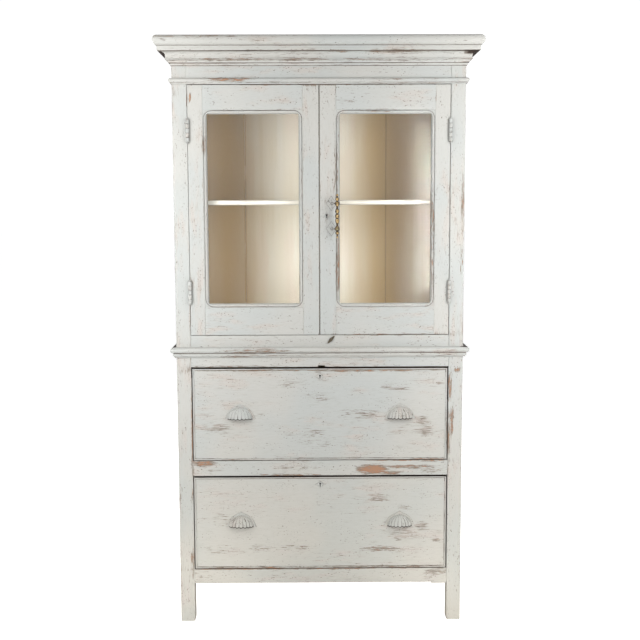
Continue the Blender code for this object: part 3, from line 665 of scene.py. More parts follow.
def wrap_moulding(node, outline, shaded_bands=(), seams=()):
    """A moulding mitred round the front and both sides; the outline is (projection, height).

    The shaded bands are stretches of height darkened on the side returns, most near the front:
    painted shade. Each seam is (start, end, how much): a stretch of height darkened all round,
    dirt in the joint and a painted shadow line. Lengths are in mm.
    """
    skin = Skin()
    seed = skin.seed
    base_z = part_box(node)[0].z
    outline = refine(mm(*outline), 0.004)
    shaded_bands = mm(*shaded_bands)
    bulges = exposure(outline)
    corners = (
        ((-HALF_W, BACK_Y), (-1, 0)), ((-HALF_W, FRONT_Y), (-1, -1)),
        ((HALF_W, FRONT_Y), (1, -1)), ((HALF_W, BACK_Y), (1, 0)),
    )
    stations, travelled = [], 0.0
    for number, ((here, out_here), (there, out_there)) in enumerate(zip(corners, corners[1:])):
        length = math.dist(here, there)
        count = round(length / ALONG_STEP)
        for i in range(count + (number == 2)):
            out = ((-1, 0), (0, -1), (1, 0))[number]
            if i in (0, count):
                out = out_there if i else out_here
            t = i / count
            spot = (here[0] + (there[0] - here[0]) * t, here[1] + (there[1] - here[1]) * t)
            stations.append((spot, out, travelled + length * t, number))
        travelled += length
    rings = []
    for spot, out, along, run in stations:
        ring = []
        for (stand, height), bulge in zip(outline, bulges):
            patchy = wander(along * 8, height * 40, seed)
            settle = 0.0003 * wander(along * 4, height * 30, seed + 5.0) if stand > 0.002 else 0.0
            gap = FIT + stand - settle
            place = (spot[0] + out[0] * gap, spot[1] + out[1] * gap, base_z + height)
            wear = max(0.0, bulge) * (0.12 + 0.80 * patchy * patchy)
            wear = max(wear, rubbed(place) * (0.45 + 0.55 * min(1, abs(bulge) + 0.4)))
            grime_and_shade = max(0.0, -bulge) * (0.40 + 0.70 * wander(along * 6, height * 55, seed + 9.0))
            # seams: dirt in the joints, and painted shadow lines along them
            for start, end, much in seams:
                start, end = start / 1000, end / 1000
                if start <= height <= end:
                    grime_and_shade = max(grime_and_shade, much * (0.30 + 0.9 * wander(along * 5, start * 70, seed)))
            # painted shade on the side returns, darkest near the front and fading back
            if run != 1 and any(start <= height <= end for start, end in shaded_bands):
                grime_and_shade = max(grime_and_shade, 2.4 * math.exp(-(spot[1] - FRONT_Y) / 0.20))
            ring.append(skin.point(place, (along, stand, height), wear, grime_and_shade))
        rings.append(ring)
    skin.tube(rings)
    return skin.finish(node + ".looks", "paint", "carcass", node, crisp=34.0)


def loop_moulding(name, xs, zs, face_y, rows, finish, body, node=None, worn_sides=(1, 1, 1, 1)):
    """A moulding that runs round a rectangle in the front's plane.

    Each row is (inset, depth behind the face, corner radius, wear, grime and painted shade),
    lengths in mm; the rows go once round the moulding's section. `worn_sides` is how much of
    that wear, grime and shade the bottom, right, top and left have.
    """
    skin = Skin()
    seed = skin.seed
    width, height = xs[1] - xs[0], zs[1] - zs[0]
    steps = 7
    layout = []
    for corner in range(4):
        layout += [(corner, i / steps) for i in range(steps + 1)]
        length = (width, height)[corner % 2]
        count = round(length / ALONG_STEP)
        layout += [(corner, 1.0 + i / count) for i in range(1, count)]
    rings = []
    for *lengths, row_wear, row_darkening in rows:
        inset, depth, radius = mm(lengths)[0]
        sides = (xs[0] + inset, zs[0] + inset, xs[1] - inset, zs[1] - inset)
        ring = []
        for corner, turn in layout:
            spot, _ = round_rect(*sides, radius, corner, turn)
            place = (spot[0], face_y + depth, spot[1])
            across, along = spot if corner % 2 else reversed(spot)
            patchy = wander(along * 9, corner * 4.1, seed)
            much = worn_sides[corner]
            wear = max(much * row_wear * (0.25 + 0.85 * patchy * patchy), rubbed(place))
            grime_and_shade = much * row_darkening * (0.45 + 0.65 * wander(along * 7, corner * 3.3, seed + 4.0))
            ring.append(skin.point(place, (along, across, depth), wear, grime_and_shade))
        rings.append(ring)
    for ring, other in zip(rings, rings[1:] + rings[:1]):
        skin.bridge(ring, other)
    return skin.finish(name, finish, body, node, crisp=36.0)


def lathe(skin, profile, start, direction, sides=24, shaded=0.0):
    """Adds a turned solid; the profile is (radius, distance, wear, grime), lengths in mm.

    `shaded` is how much painted shade darkens the sides that turn away from the front.
    """
    direction = Vector(direction).normalized()
    side = direction.orthogonal().normalized()
    other = direction.cross(side)
    rings = []
    for *lengths, wear, grime_and_shade in profile:
        radius, distance = mm(lengths)[0]
        ring = []
        for k in range(sides):
            a = 2 * math.pi * k / sides
            out = side * math.cos(a) + other * math.sin(a)
            place = Vector(start) + direction * distance + out * radius
            # painted shade, darker towards the sides that turn away from the front
            side_shade = shaded * min(1.0, 1.0 + out.y)
            ring.append(skin.upright(place, wear, grime_and_shade + side_shade))
        rings.append(ring)
    skin.tube(rings)


def relief(skin, centre, outline, surface, inner=None, rings=10, spokes=64):
    """Adds a plate facing the front, from its inner outline, or its middle, to its outer one.

    `outline` and `inner` give a radius for each turn; `surface` gives (height, wear, grime)
    for a share of the way out, a turn and the place (u, v). Inside an inner outline the hole is
    closed by a near-black floor: painted shade standing in for its depth.
    """
    turns = [2 * math.pi * k / spokes for k in range(spokes)]

    def ring_at(radius_of, surface_of):
        ring = []
        for turn in turns:
            radius = radius_of(turn)
            u, v = radius * math.cos(turn), radius * math.sin(turn)
            height, wear, grime_and_shade = surface_of(turn, u, v)
            place = (centre[0] + u, centre[1] - height, centre[2] + v)
            ring.append(skin.upright(place, wear, grime_and_shade))
        return ring

    near = inner or (lambda turn: 0.0004)
    grid = []
    for share in (number / rings for number in range(rings + 1)):
        grid.append(ring_at(lambda turn: near(turn) + (outline(turn) - near(turn)) * share,
                            lambda turn, u, v: surface(share, turn, u, v)))
    for ring, other in zip(grid, grid[1:]):
        skin.bridge(ring, other)
    back = ring_at(outline, lambda *_: (0.0, 0.0, 0.6))
    skin.bridge(grid[-1], back)
    skin.cap(back)
    # a near-black floor closes the hole: painted shade for the keyhole's depth
    if inner:
        floor = ring_at(inner, lambda *_: (0.0001, 0.0, 3.0))
        skin.bridge(grid[0], floor)
        skin.cap(floor, 3.0)
    else:
        skin.cap(grid[0])


# ---------------------------------------------------------------- carcass
SIDES = (("left", -1), ("right", 1))  # 2 + side is the inward side of an upright's section


def three_boards(node, name, grain, finish, **how):
    """Three boards side by side from front to back, where the CAD has one."""
    low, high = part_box(node)
    width = (high.y - low.y) / 3
    for n in range(3):
        board(f"{name}_{n + 1}", (low.x, low.y + n * width, low.z),
              (high.x, low.y + (n + 1) * width - FIT, high.z), grain, finish, "carcass", node,
              **how)


def build_posts():
    """Front posts, whose feet have a rounded inner corner, and rear posts.

    The front posts are a little wider than the CAD's, so the gaps beside them look as narrow
    as they are; the legs below the bottom rail are set back again.
    """
    foot, steps = 0.008, 4
    leg_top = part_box("bottom_rail")[0].z
    for word, side, wider, shade_from in (("left", -1, 0.0010, 0.88), ("right", 1, 0.0003, 0.80)):
        inner = 2 + side
        low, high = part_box(f"front_post_{word}")
        cuts = []
        for i in range(steps):
            depth = foot * (1 - math.sqrt(1 - (1 - (i + 0.5) / steps) ** 2)) / steps
            cuts.append((low.z - 1.0, low.z + 0.5 * foot * (1 - i / steps), inner, depth))
        cuts.append((low.z - 1.0, leg_top, inner, 0.0008))
        (high if side < 0 else low).x -= side * wider
        # The inner side beside the upper drawer gets near-black painted shade for the gap there, up
        # from the height given with each post.
        plank(f"front_post_{word}", 2, low=low, high=high, edge=0.0022, cuts=cuts,
              dirty=[(shade_from, 0.93, inner, 3.0)])
        plank(f"rear_post_{word}", 2, edge=0.0022, lining=(inner, "pine"))


def build_side_panels():
    """Upright boards that meet in a V."""
    for word, side in SIDES:
        three_boards(f"side_panel_{word}", f"side_board_{word}", 2, "paint", edge=0.0024,
                     lining=(2 + side, "pine"))


def build_rails():
    """The four rails across the front, with painted shade underneath and on top where they line
    gaps, and dirt on the middle rail's face.
    """
    for node, below, face in (("frieze_rail", 0.8, 0.0), ("middle_rail", 3.0, 0.14)):
        plank(node, 0, edge=0.0018,
              dirty=[(-1.0, 1.0, 0, below), (-1.0, 1.0, 2, 0.7), (-1.0, 1.0, 3, face)])
    plank("bottom_rail", 0, edge=0.0016, dirty=[(-1.0, 1.0, 2, 0.8)])
    low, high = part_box("bottom_rail")
    board("bottom_rail_patch", (0.395, low.y + 0.0004, low.z - 0.0045),
          (high.x, high.y - 0.004, low.z + 0.010), 0, "paint", "carcass", "bottom_rail",
          edge=0.0025, worn=2.0)
    mortise_x, half, tall = 0.0055, 0.0125, 0.005
    plank("waist_rail", 0, edge=0.0018, cuts=[(mortise_x - half, mortise_x + half, 0, tall)],
          dirty=[(-1.0, 1.0, 0, 3.0), (-1.0, 1.0, 2, 0.5)])


def build_mouldings():
    low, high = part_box("cornice")
    top, out = 1000 * (high.z - low.z), 1000 * (high.x - HALF_W - FIT)
    nose_low = 63.6
    nose_half = (top - nose_low) / 2
    cornice = [
        (0, 0), (0.8, 0), (1, 0.8), (1.2, 2), (3, 2.3), (3.6, 3), (3.6, 10.4), (4.4, 11), (8, 11.2),
        (9.2, 11.6), *arc((17, 12.4), (-7.6, 8), 5, 84, 6), (17.4, 20.6), (18.4, 21.2),
        (18.8, 22.6), (18.2, 23.8), (17.2, 24.4), (16.8, 27), (17.2, 32),
        *arc((33, 33), (-15.6, 13.2), 12, 84, 7), (38, 46.4), (40.6, 46.6), (41.6, 47.6),
        (41.6, 61.8), (40.8, 62.8),
        *arc((out - 15, nose_low + nose_half), (15, nose_half), -86, 86, 14),
        (out - 20, top), (0, top),
    ]
    wrap_moulding("cornice", cornice, ((10.6, 11.6), (40, 47)), ((0.5, 2.2, 1.3), (45, 47.5, 1.2)))
    waist = [
        (0, 0), (3.6, 0.4), (6.6, 2.6), (8, 6), *arc((8.2, 10.8), (3, 5), -70, 60, 6),
        (9.4, 16.4), (10, 17.6), *arc((11.2, 27), (8.3, 9.2), -84, 84, 10), (6, 36.8), (0, 37),
    ]
    wrap_moulding("waist_moulding", waist, ((35.5, 37.1),))
    bead = [
        (0, 0), (3, 0.2), (4.6, 1.6), (5, 5), *arc((4.4, 12.4), (5.4, 7), -80, 88, 9),
        (3, 19.8), (0, 20.5),
    ]
    wrap_moulding("frieze_bead", bead)


def build_boards():
    """Top, cupboard floor and shelf, notched round the posts, and the back."""
    three_boards("top_board", "top_board", 0, "pine", edge=0.0015)
    for node in ("cupboard_floor", "shelf"):
        low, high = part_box(node)
        notches = [(1, high.y - REAR_POST_Y + FIT)]
        if low.y < POST_BACK_Y:
            notches.append((3, POST_BACK_Y + FIT - low.y))
        cuts = [(start, end, side, depth) for side, depth in notches
                for start, end in ((-1.0, -OPEN_X), (OPEN_X, 1.0))]
        plank(node, 0, "cream", edge=0.0015, cuts=cuts, worn=2.0)
    for n in range(1, 5):
        plank(f"back_board_{n}", 2, "cream", edge=0.0010, worn=0.0, lining=(2, "pine"))


def build_runner_frames():
    """These CAD nodes keep their shape and get old pine."""
    pine = aged_pine("runner_pine", by_place=True)
    for word, _ in SIDES:
        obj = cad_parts[f"runner_frame_{word}"]
        obj.data.materials.clear()
        obj.data.materials.append(pine)


# ---------------------------------------------------------------- hinges
def build_hinge(word, side, which):
    """A painted butt hinge: five knuckles between two turned tips, and two flat leaves."""
    post_node, door_node = (f"{word}_{which}_hinge_{part}_leaf" for part in ("post", "door"))
    low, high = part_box(post_node)
    tip, radius, slack = 0.005, 0.0065, 0.0002
    axis_x, axis_y = side * (OPEN_X - 0.00175), low.y + radius
    base = low.z + tip
    pitch = (high.z - low.z - 2 * tip) / 5
    tall = 1000 * (pitch - 2 * slack)
    knuckle = (
        (5.2, 0.0, 0.2, 0.9), (6.175, 0.5, 0.5, 0.3), (6.5, 1.4, 0.35, 0.0),
        (6.5, tall / 2, 0.15, 0.0), (6.5, tall - 1.4, 0.35, 0.0),
        (6.175, tall - 0.5, 0.5, 0.3), (5.2, tall, 0.2, 0.9),
    )
    turned_tip = [(3.0, -0.4, 0.0, 1.0)]
    turned_tip += [(*point, 0.4, 0.0) for point in arc((0.0, 2.2), (4.4, 2.4), -60, 75, 9)]
    for node, body, numbers, leaf in (
        (post_node, "carcass", (0, 2, 4), (0.00015, 0.00145)),
        (door_node, f"{word}_door", (1, 3), (-0.00145, -0.00015)),
    ):
        skin = Skin()
        for n in numbers:
            lathe(skin, knuckle, (axis_x, axis_y, base + pitch * n + slack), (0, 0, 1), 20)
        if body == "carcass":
            for z, way in ((base + slack, -1), (base + 5 * pitch - slack, 1)):
                lathe(skin, turned_tip, (axis_x, axis_y, z), (0, 0, way), 16)
        skin.finish(node + ".barrel", "iron_paint", body, node)
        xs = sorted(axis_x + side * t for t in leaf)
        board(node + ".leaf", (xs[0], FRONT_Y - 0.003, base + 0.001),
              (xs[1], high.y, base + 5 * pitch - 0.001), 2, "iron_paint", body, node, edge=0.0003)


# ---------------------------------------------------------------- doors
PANE_MARGIN = 0.001  # from the glass's edge to the frame's
SIGHT_WIDER = 0.003  # how much further the pane's frame opens on the hinge side
STILE_WIDER = 0.0015  # how much of the gap beside the posts the hinge stiles fill
SIGHT_MOULDING = (
    (0.2, 11.8, 0.4, 0.0, 0.0), (0.2, 0.1, 0.4, 0.0, 0.0), (1.0, 0.1, 28.6, 0.25, 0.0),
    (1.8, 0.7, 28.0, 0.45, 0.5), (2.1, 3.0, 27.8, 0.3, 1.7), (3.0, 3.2, 27.2, 0.3, 1.7),
    (3.3, 1.2, 26.9, 0.35, 0.5), (4.1, 0.3, 26.0, 0.30, 0.0), (6.6, 0.2, 23.0, 0.15, 0.0),
    (9.0, 1.2, 18.0, 0.10, 0.0), (11.0, 3.4, 12.0, 0.10, 0.0), (12.6, 6.4, 7.0, 0.15, 0.2),
    (13.6, 9.4, 3.6, 0.35, 0.3), (14.0, 11.8, 2.8, 0.30, 0.5),
)
GLAZING_BEAD = (
    (0.8, 0.0, 0.6, 0.0, 0.3), (0.8, 3.0, 0.6, 0.3, 0.0), (4.0, 4.2, 0.6, 0.3, 0.0),
    (8.0, 3.0, 0.6, 0.2, 0.0), (10.0, 0.0, 0.6, 0.0, 0.4),
)


def build_door(word, side):
    body = f"{word}_door"
    glass_low, glass_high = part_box(f"{body}_glass")
    pane_xs = [glass_low.x - PANE_MARGIN, glass_high.x + PANE_MARGIN]
    pane_xs[side > 0] += side * SIGHT_WIDER
    pane_zs = (glass_low.z - PANE_MARGIN, glass_high.z + PANE_MARGIN)
    for label in ("meeting_stile", "hinge_stile", "bottom_rail", "top_rail"):
        low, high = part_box(f"{body}_{label}")
        upright = label.endswith("stile")
        if upright:
            if low.x < pane_xs[0]:
                high.x = pane_xs[0]
            else:
                low.x = pane_xs[1]
        elif side < 0:
            low.x = pane_xs[0]
        else:
            high.x = pane_xs[1]
        if label == "hinge_stile":
            (low if side < 0 else high).x += side * STILE_WIDER
        elif label == "top_rail":
            low.z = pane_zs[1]
        elif label == "bottom_rail":
            high.z = pane_zs[0]
        low.y, high.y = FRONT_Y, RAIL_BACK_Y
        # painted shade on the face of each member that lines a gap or the pane's opening
        dirty_side = {"top_rail": 2, "bottom_rail": 0}.get(label, 2 + side)
        plank(f"{body}_{label}", 2 if upright else 0, "paint", body, low, high, edge=0.0007,
              lining=(2 if upright else 1, "shaded_back_paint"), dirty=[(-1.0, 2.1, dirty_side, 0.8)])
    build_meeting_shade_strip(body, side)
    loop_moulding(f"{body}_moulding", pane_xs, pane_zs, FRONT_Y, SIGHT_MOULDING, "paint", body,
                  worn_sides=(0.70, 0.85, 1.0, 0.50 if side < 0 else 0.75))
    loop_moulding(f"{body}_glazing_bead", pane_xs, pane_zs, GLASS_BACK_Y + FIT, GLAZING_BEAD,
                  "shaded_back_paint", body)
    build_pane(body, glass_low, glass_high)


def build_meeting_shade_strip(body, side):
    """A strip let into the meeting stile's edge, so no light comes between the doors, made near
    black as painted shade for the gap.
    """
    stile_low, stile_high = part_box(f"{body}_meeting_stile")
    low_z, high_z = stile_low.z + 0.001, stile_high.z - 0.001
    front = FRONT_Y + 0.0028
    if side < 0:
        low, high = (stile_high.x - 0.0002, front, low_z), (0.0002, RAIL_BACK_Y - 0.002, high_z)
    else:
        low, high = (0.0005, front, low_z), (stile_low.x + 0.0002, front + 0.0025, high_z)
    # near black on all four sides: painted shade in the gap between the doors
    board(f"{body}_meeting_shade_strip", low, high, 2, "paint", body, edge=0.0002,
          dirty=[(0.0, 2.1, k, 4.0) for k in range(4)])


def build_pane(body, low, high):
    """Old glass, very slightly wavy."""
    skin = Skin()

    def face(y, way):
        def point_of(across, up):
            x = low.x + (high.x - low.x) * across
            z = low.z + (high.z - low.z) * up
            return skin.upright((x, y + way * 0.0003 * wander(x * 9, z * 6, y * 40), z))
        return skin.sheet(12, 24, point_of)

    skin.join(face(low.y, 1), face(high.y, -1))
    skin.finish(f"{body}_pane", "glass", body, f"{body}_glass")


# ---------------------------------------------------------------- locks and pulls
def diamond(half_w, half_h, pinch):
    """Radius of a diamond whose sides curve inwards."""
    def radius(turn):
        c, s = abs(math.cos(turn)) / half_w, abs(math.sin(turn)) / half_h
        return 1.0 / (c ** pinch + s ** pinch) ** (1.0 / pinch)
    return radius


def keyhole(turn):
    """Radius of a keyhole's outline, seen from where its slot meets its round top."""
    round_r, up, slot_half, slot_down = 0.0034, 0.0028, 0.0015, 0.0072
    s = math.sin(turn)
    round_part = up * s + math.sqrt(max(0.0, round_r ** 2 - (up * math.cos(turn)) ** 2))
    slot_part = slot_half / max(1e-6, abs(math.cos(turn)))
    if s < 0:
        slot_part = min(slot_part, slot_down / -s)
    else:
        slot_part = min(slot_part, up / max(1e-6, s))
    return max(round_part, slot_part)


def build_lock(node, body, keyhole_at, plate, boss):
    """A diamond plate with a raised boss round its keyhole, and the case behind the front.

    `plate` and `boss` are half the width and half the height of each.
    """
    stem = node.removesuffix("_lock")

    def surface(share, turn, u, v):
        oval = math.hypot(u / boss[0], v / boss[1])
        height = 0.0013 + 0.0016 * hump(oval, 0.80, 0.24) - 0.0005 * max(0.0, 0.55 - oval)
        height -= 0.0007 * (max(0.0, share - 0.86) / 0.14) ** 2
        wear = 0.35 * hump(oval, 0.80, 0.18) + 0.3 * (share > 0.95)
        return height, wear, 0.35 * hump(oval, 1.12, 0.14) + 0.8 * (share > 0.95)

    skin = Skin()
    relief(skin, keyhole_at, diamond(*plate, 0.72), surface, keyhole, 18, 96)
    skin.finish(f"{stem}_escutcheon", "iron_paint", body, node)

    low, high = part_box(node)
    low.y = RAIL_BACK_Y + FIT
    board(f"{stem}_lock_case", low, high, 0, "iron", body, node, edge=0.0008)
    screws = Skin()
    inset = 0.006
    dome = ((3.0, -0.4, 0.0, 0.0), (3.0, 0.6, 0.4, 0.0), (2.4, 1.1, 0.6, 0.0), (1.0, 1.4, 0.3, 0.0))
    for x in (low.x + inset, high.x - inset):
        for z in (low.z + inset, high.z - inset):
            lathe(screws, dome, (x, high.y, z), (0, 1, 0), 14)
    screws.finish(f"{stem}_lock_case.screws", "iron", body)


def build_door_lock():
    low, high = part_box("door_lock")
    build_lock("door_lock", "right_door", (0.0250, FRONT_Y - FIT, (low.z + high.z) / 2),
               (0.0145, 0.0135), (0.0066, 0.0088))


BAR = (  # the turned bar: height as a share of its length, radius in mm
    (0.000, 1.6), (0.010, 3.2), (0.023, 3.8), (0.040, 3.6), (0.066, 2.6), (0.085, 3.6),
    (0.100, 6.0), (0.114, 7.0), (0.130, 6.6), (0.150, 4.8), (0.170, 4.8), (0.190, 7.2),
    (0.2105, 8.2), (0.232, 7.6), (0.250, 6.2), (0.268, 4.4), (0.288, 3.2), (0.310, 3.2),
    (0.330, 3.8), (0.360, 6.0), (0.398, 7.3), (0.430, 6.2), (0.4485, 4.8), (0.460, 5.2),
    (0.471, 7.2), (0.482, 7.4), (0.498, 6.6), (0.513, 7.4), (0.524, 7.2), (0.535, 5.2),
    (0.547, 3.6), (0.570, 5.6), (0.597, 7.3), (0.630, 6.4), (0.660, 4.4), (0.684, 3.2),
    (0.7185, 3.6), (0.735, 5.4), (0.748, 6.4), (0.768, 6.0), (0.789, 7.0), (0.808, 6.2),
    (0.833, 3.6), (0.855, 5.8), (0.879, 7.0), (0.905, 5.6), (0.925, 3.4), (0.940, 2.6),
    (0.955, 3.6), (0.975, 4.6), (0.990, 3.4), (1.000, 1.4),
)


def build_door_pull():
    """A turned brass bar held off the door by two arms, each on a pointed leaf plate."""
    low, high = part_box("door_pull")
    bar_radius, arm_zs, leaf_x = 0.0082, (1.4878, 1.4010), 0.0408
    centre_x, centre_y = high.x - bar_radius, low.y + bar_radius
    painted_side_shade = 1.2  # painted shade on the sides of the brass that turn away from the front
    brass = Skin()
    profile = []
    for n, (share, radius) in enumerate(BAR):
        around = [r for _, r in BAR[max(0, n - 2):n + 3]]
        hollow = max(0.0, (sum(around) / len(around) - radius) / 2.0)
        distance = 1000 * share * (high.z - low.z)
        profile.append((radius, distance, 0.0, min(1.2, 1.6 * hollow)))
    lathe(brass, profile, (centre_x, centre_y, low.z), (0, 0, 1), 28, painted_side_shade)
    knuckle = (
        (6.0, -5.5, 0.0, 0.9), (7.8, -4.0, 0.0, 0.2), (8.2, -1.6, 0.0, 0.0), (7.4, 0.0, 0.0, 0.7),
        (8.2, 1.6, 0.0, 0.0), (7.8, 4.0, 0.0, 0.2), (6.0, 5.5, 0.0, 0.9),
    )

    plates = Skin()
    leaf = diamond(0.0185, 0.0260, 0.95)

    def surface(share, turn, u, v):
        ridge = abs(math.cos(2 * turn))
        height = 0.0011 + 0.0012 * ridge * (1 - share) + 0.0030 * hump(share, 0.0, 0.28)
        height -= 0.0006 * (1 - ridge) * math.sin(math.pi * min(1.0, share))
        grime_and_shade = 0.35 * (1 - ridge) ** 2 * math.sin(math.pi * share) + 1.5 * (share > 0.94)
        return height, 0.15 * ridge * (0.3 + 0.7 * share), grime_and_shade

    for z in arm_zs:
        relief(plates, (leaf_x, FRONT_Y - FIT, z), leaf, surface, None, 12, 64)
        start = Vector((leaf_x + 0.002, FRONT_Y - 0.002, z))
        end = Vector((centre_x, centre_y, z))
        reach = 1000 * (end - start).length
        arm = (
            (5.6, 0.0, 0.0, 1.0), (4.8, 0.10 * reach, 0.6, 0.4), (3.2, 0.24 * reach, 0.6, 0.3),
            (2.6, 0.42 * reach, 0.6, 0.5), (2.4, 0.62 * reach, 0.5, 0.9),
            (3.6, 0.78 * reach, 0.5, 1.2), (3.8, 0.97 * reach, 0.0, 1.6),
        )
        lathe(plates, arm, start, end - start, 18)
        lathe(brass, knuckle, (centre_x, centre_y, z), (0, 0, 1), 24, painted_side_shade)
    brass.finish("door_pull_bar", "brass", "right_door", "door_pull")
    plates.finish("door_pull_plates", "iron_paint", "right_door", "door_pull")


def build_cup_pull(node, body):
    """Shell pull: a hollow fluted cup in an arched flange with two ears and a pointed top."""
    low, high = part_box(node)
    lifted = 0.0004
    middle = Vector(((low.x + high.x) / 2, PANEL_Y - FIT, low.z + lifted))
    half_w, out, tall, wall = 0.044, 0.0225, 0.0405, 0.0018
    flutes = 9
    cup = Skin()

    def shell(inset):
        def point_of(across, up):
            turn, lift = math.pi * across, math.radians(88.0) * up ** 1.4
            rib = abs(math.sin(flutes * turn))
            depth = 1.0 - 0.11 * (1.0 - rib) * (1.0 - 0.6 * math.sin(lift))
            x = -(half_w - inset) * depth * math.cos(turn) * math.cos(lift)
            y = -(out - inset) * depth * math.sin(turn) * math.cos(lift)
            z = (tall - inset) * math.sin(lift)
            z += (0.0026 - 0.0024 * rib) * math.sin(turn) * math.cos(lift) ** 5
            rim = max(0.0, 1.0 - lift / 0.075)
            wear = 0.30 * rib ** 2 * (0.25 + 0.75 * math.cos(lift) ** 2) + 0.5 * rim
            wear += 0.9 * hump(turn, 2.05, 0.10) * hump(lift, 0.85, 0.22)
            # The flutes' hollows are darker; the lowest few mm of the rim are near black and the
            # inside dark, as painted shade for the dark line under the pull.
            grime_and_shade = 0.62 * (1.0 - rib) ** 3 + 2.0 * rim
            if inset:
                wear, grime_and_shade = 0.0, 0.9
            return cup.upright(middle + Vector((x, min(y, 0.0), z)), wear, grime_and_shade)
        return cup.sheet(10 * flutes, 14, point_of)

    cup.join(shell(0.0), shell(wall))
    cup.finish(node + ".cup", "iron_paint", body, node, crisp=60.0)

    flange = Skin()
    arch_w, arch_h = 0.0498, 0.0470
    ear_tip, peak = 0.0555, high.z - middle.z

    def leaf(front):
        def point_of(across, share):
            turn = math.pi * across
            c, s = math.cos(turn), math.sin(turn)
            ear = math.exp(-min(turn, math.pi - turn) / 0.10) * (ear_tip - arch_w)
            rise = math.exp(-abs(turn - math.pi / 2) / 0.16) * (peak - arch_h)
            near = (0.93 * half_w * c, 0.93 * tall * s)
            far = (arch_w * c + math.copysign(ear, c), arch_h * s + rise)
            u, v = (n + (f - n) * share for n, f in zip(near, far))
            height = 0.0
            if front:
                height = 0.0011 + 0.0010 * hump(share, 0.80, 0.16)
                height -= 0.0004 * (1 - abs(math.sin(flutes * turn))) * (share < 0.7)
                height -= 0.0008 * max(0.0, share - 0.9) / 0.1
            wear = 0.30 * hump(share, 0.80, 0.12) * front
            grime_and_shade = 0.55 * (share < 0.25) + 0.30 * (share > 0.97)
            return flange.upright(middle + Vector((u, -height, v + lifted)), wear, grime_and_shade)
        return flange.sheet(72, 8, point_of)

    flange.join(leaf(True), leaf(False))
    flange.finish(node + ".flange", "iron_paint", body, node, crisp=60.0)


# ---------------------------------------------------------------- drawers
# The first two rows, on the bead's outer edge that lines the gap round the drawer, are near black:
# painted shade in the gap.
COCK_BEAD = (
    (0.0, 21.5, 0.5, 0.0, 3.0), (0.3, 2.2, 0.5, 0.0, 3.0), (0.9, 0.5, 0.6, 0.20, 0.8),
    (1.8, 0.0, 0.6, 0.05, 0.0), (3.4, 0.0, 0.6, 0.05, 0.0), (4.4, 0.5, 0.6, 0.35, 0.0),
    (4.8, 1.2, 0.6, 0.90, 0.5), (5.0, 2.2, 0.6, 1.30, 1.0), (6.9, 2.4, 0.6, 1.30, 1.0),
    (6.9, 21.5, 0.6, 0.0, 0.5),
)


def build_drawer(word):
    """A front with a raised bead round its panel, the box behind it, its lock and its pulls."""
    body = f"{word}_drawer"
    node = f"{body}_front"
    low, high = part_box(node)
    bead, top_gap = 0.0072, 0.0012  # the gap over the drawers is wider than the others
    board(f"{body}_panel", (low.x + bead, PANEL_Y, low.z + bead),
          (high.x - bead, RAIL_BACK_Y, high.z - bead - 0.0008), 0, "paint", body, node, worn=1.1)
    loop_moulding(f"{body}_cock_bead", (low.x, high.x), (low.z, high.z - top_gap), FRONT_Y,
                  COCK_BEAD, "paint", body, node, (0.50, 0.45, 1.0, 0.30))
    for label, grain in (("side_left", 1), ("side_right", 1), ("back", 0), ("bottom", 0)):
        plank(f"{body}_{label}", grain, "pine", body, edge=0.0008)
    lock = f"{body}_lock"
    build_lock(lock, body, (0.0, PANEL_Y - FIT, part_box(lock)[0].z + 0.024), (0.0195, 0.0145),
               (0.0082, 0.0108))
    for hand, _ in SIDES:
        build_cup_pull(f"{body}_pull_{hand}", body)


# ---------------------------------------------------------------- turn button
def build_turn_button():
    """A dark pointed bar, thickest in the middle, on a round-headed slotted screw."""
    low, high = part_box("turn_button")
    centre = Vector(((low.x + high.x) / 2, high.y, (low.z + high.z) / 2))
    lean = math.radians(48.0)
    blade = diamond(0.0190, 0.0056, 1.35)

    def surface(share, turn, u, v):
        return 0.0030 * (1 - max(0.0, share - 0.55) ** 2 * 2.6), 0.5 * (share > 0.5), 0.0

    skin = Skin()
    relief(skin, centre, lambda turn: blade(turn - lean), surface, None, 10, 72)
    skin.finish("turn_button.looks", "iron", "turn_button", "turn_button")

    screw = Skin()

    def dome(share, turn, u, v):
        slot = 0.0009 if abs(u * 0.8 + v * 0.6) < 0.0006 else 0.0
        return 0.0022 * math.sqrt(max(0.0, 1 - 0.92 * share ** 2)) - slot, 0.5, 2.0 * (slot > 0)

    relief(screw, (centre.x, low.y - FIT, centre.z), lambda turn: 0.0046, dome, None, 9, 48)
    screw.finish("turn_button_screw.looks", "iron", "carcass", "turn_button_screw")


# ---------------------------------------------------------------- room, light and camera
AMBIENT, SEEN_WHITE = 0.06, 1.05  # how bright the sky is as a light, and seen directly
LIGHT_COLOUR = (1.0, 0.995, 0.985)
PAIRED_LIGHTS = (  # name, the right one's place, what it faces, width, height, powers
    ("key", (0.97, -1.55, 1.60), (0.10, 0.0, 1.60), 0.66, 1.8, (18.9, 18.9)),
    ("edge", (0.85, -0.75, 1.68), (0.85, 0.0, 1.68), 0.4, 1.3, (5.6, 5.0)),
    ("side", (0.85, -0.75, 0.75), (0.85, 0.0, 0.75), 0.4, 1.4, (2.5, 3.1)),
    ("reflector", (0.45, -0.75, 0.03), (0.45, -0.30, 0.25), 0.6, 0.4, (1.2, 1.2)),
    ("foot", (0.45, -0.50, 0.03), (0.45, -0.25, 0.12), 0.5, 0.2, (0.68, 0.68)),
    ("rear", (2.6, 3.0, 2.4), (0.0, 0.0, 1.0), 1.6, 1.6, (75.0, 75.0)),
)


def add_light(name, place, aim, width, height, power, spread=180.0):
    light = bpy.data.lights.new(name, "AREA")
    light.shape = "RECTANGLE"
    light.size, light.size_y = width, height
    light.energy = power
    light.spread = math.radians(spread)
    light.color = LIGHT_COLOUR
    lamp = bpy.data.objects.new(name, light)
    lamp.location = place
    lamp.rotation_euler = (Vector(aim) - lamp.location).to_track_quat("-Z", "Y").to_euler()
    lamp.visible_camera = False
    bpy.context.scene.collection.objects.link(lamp)


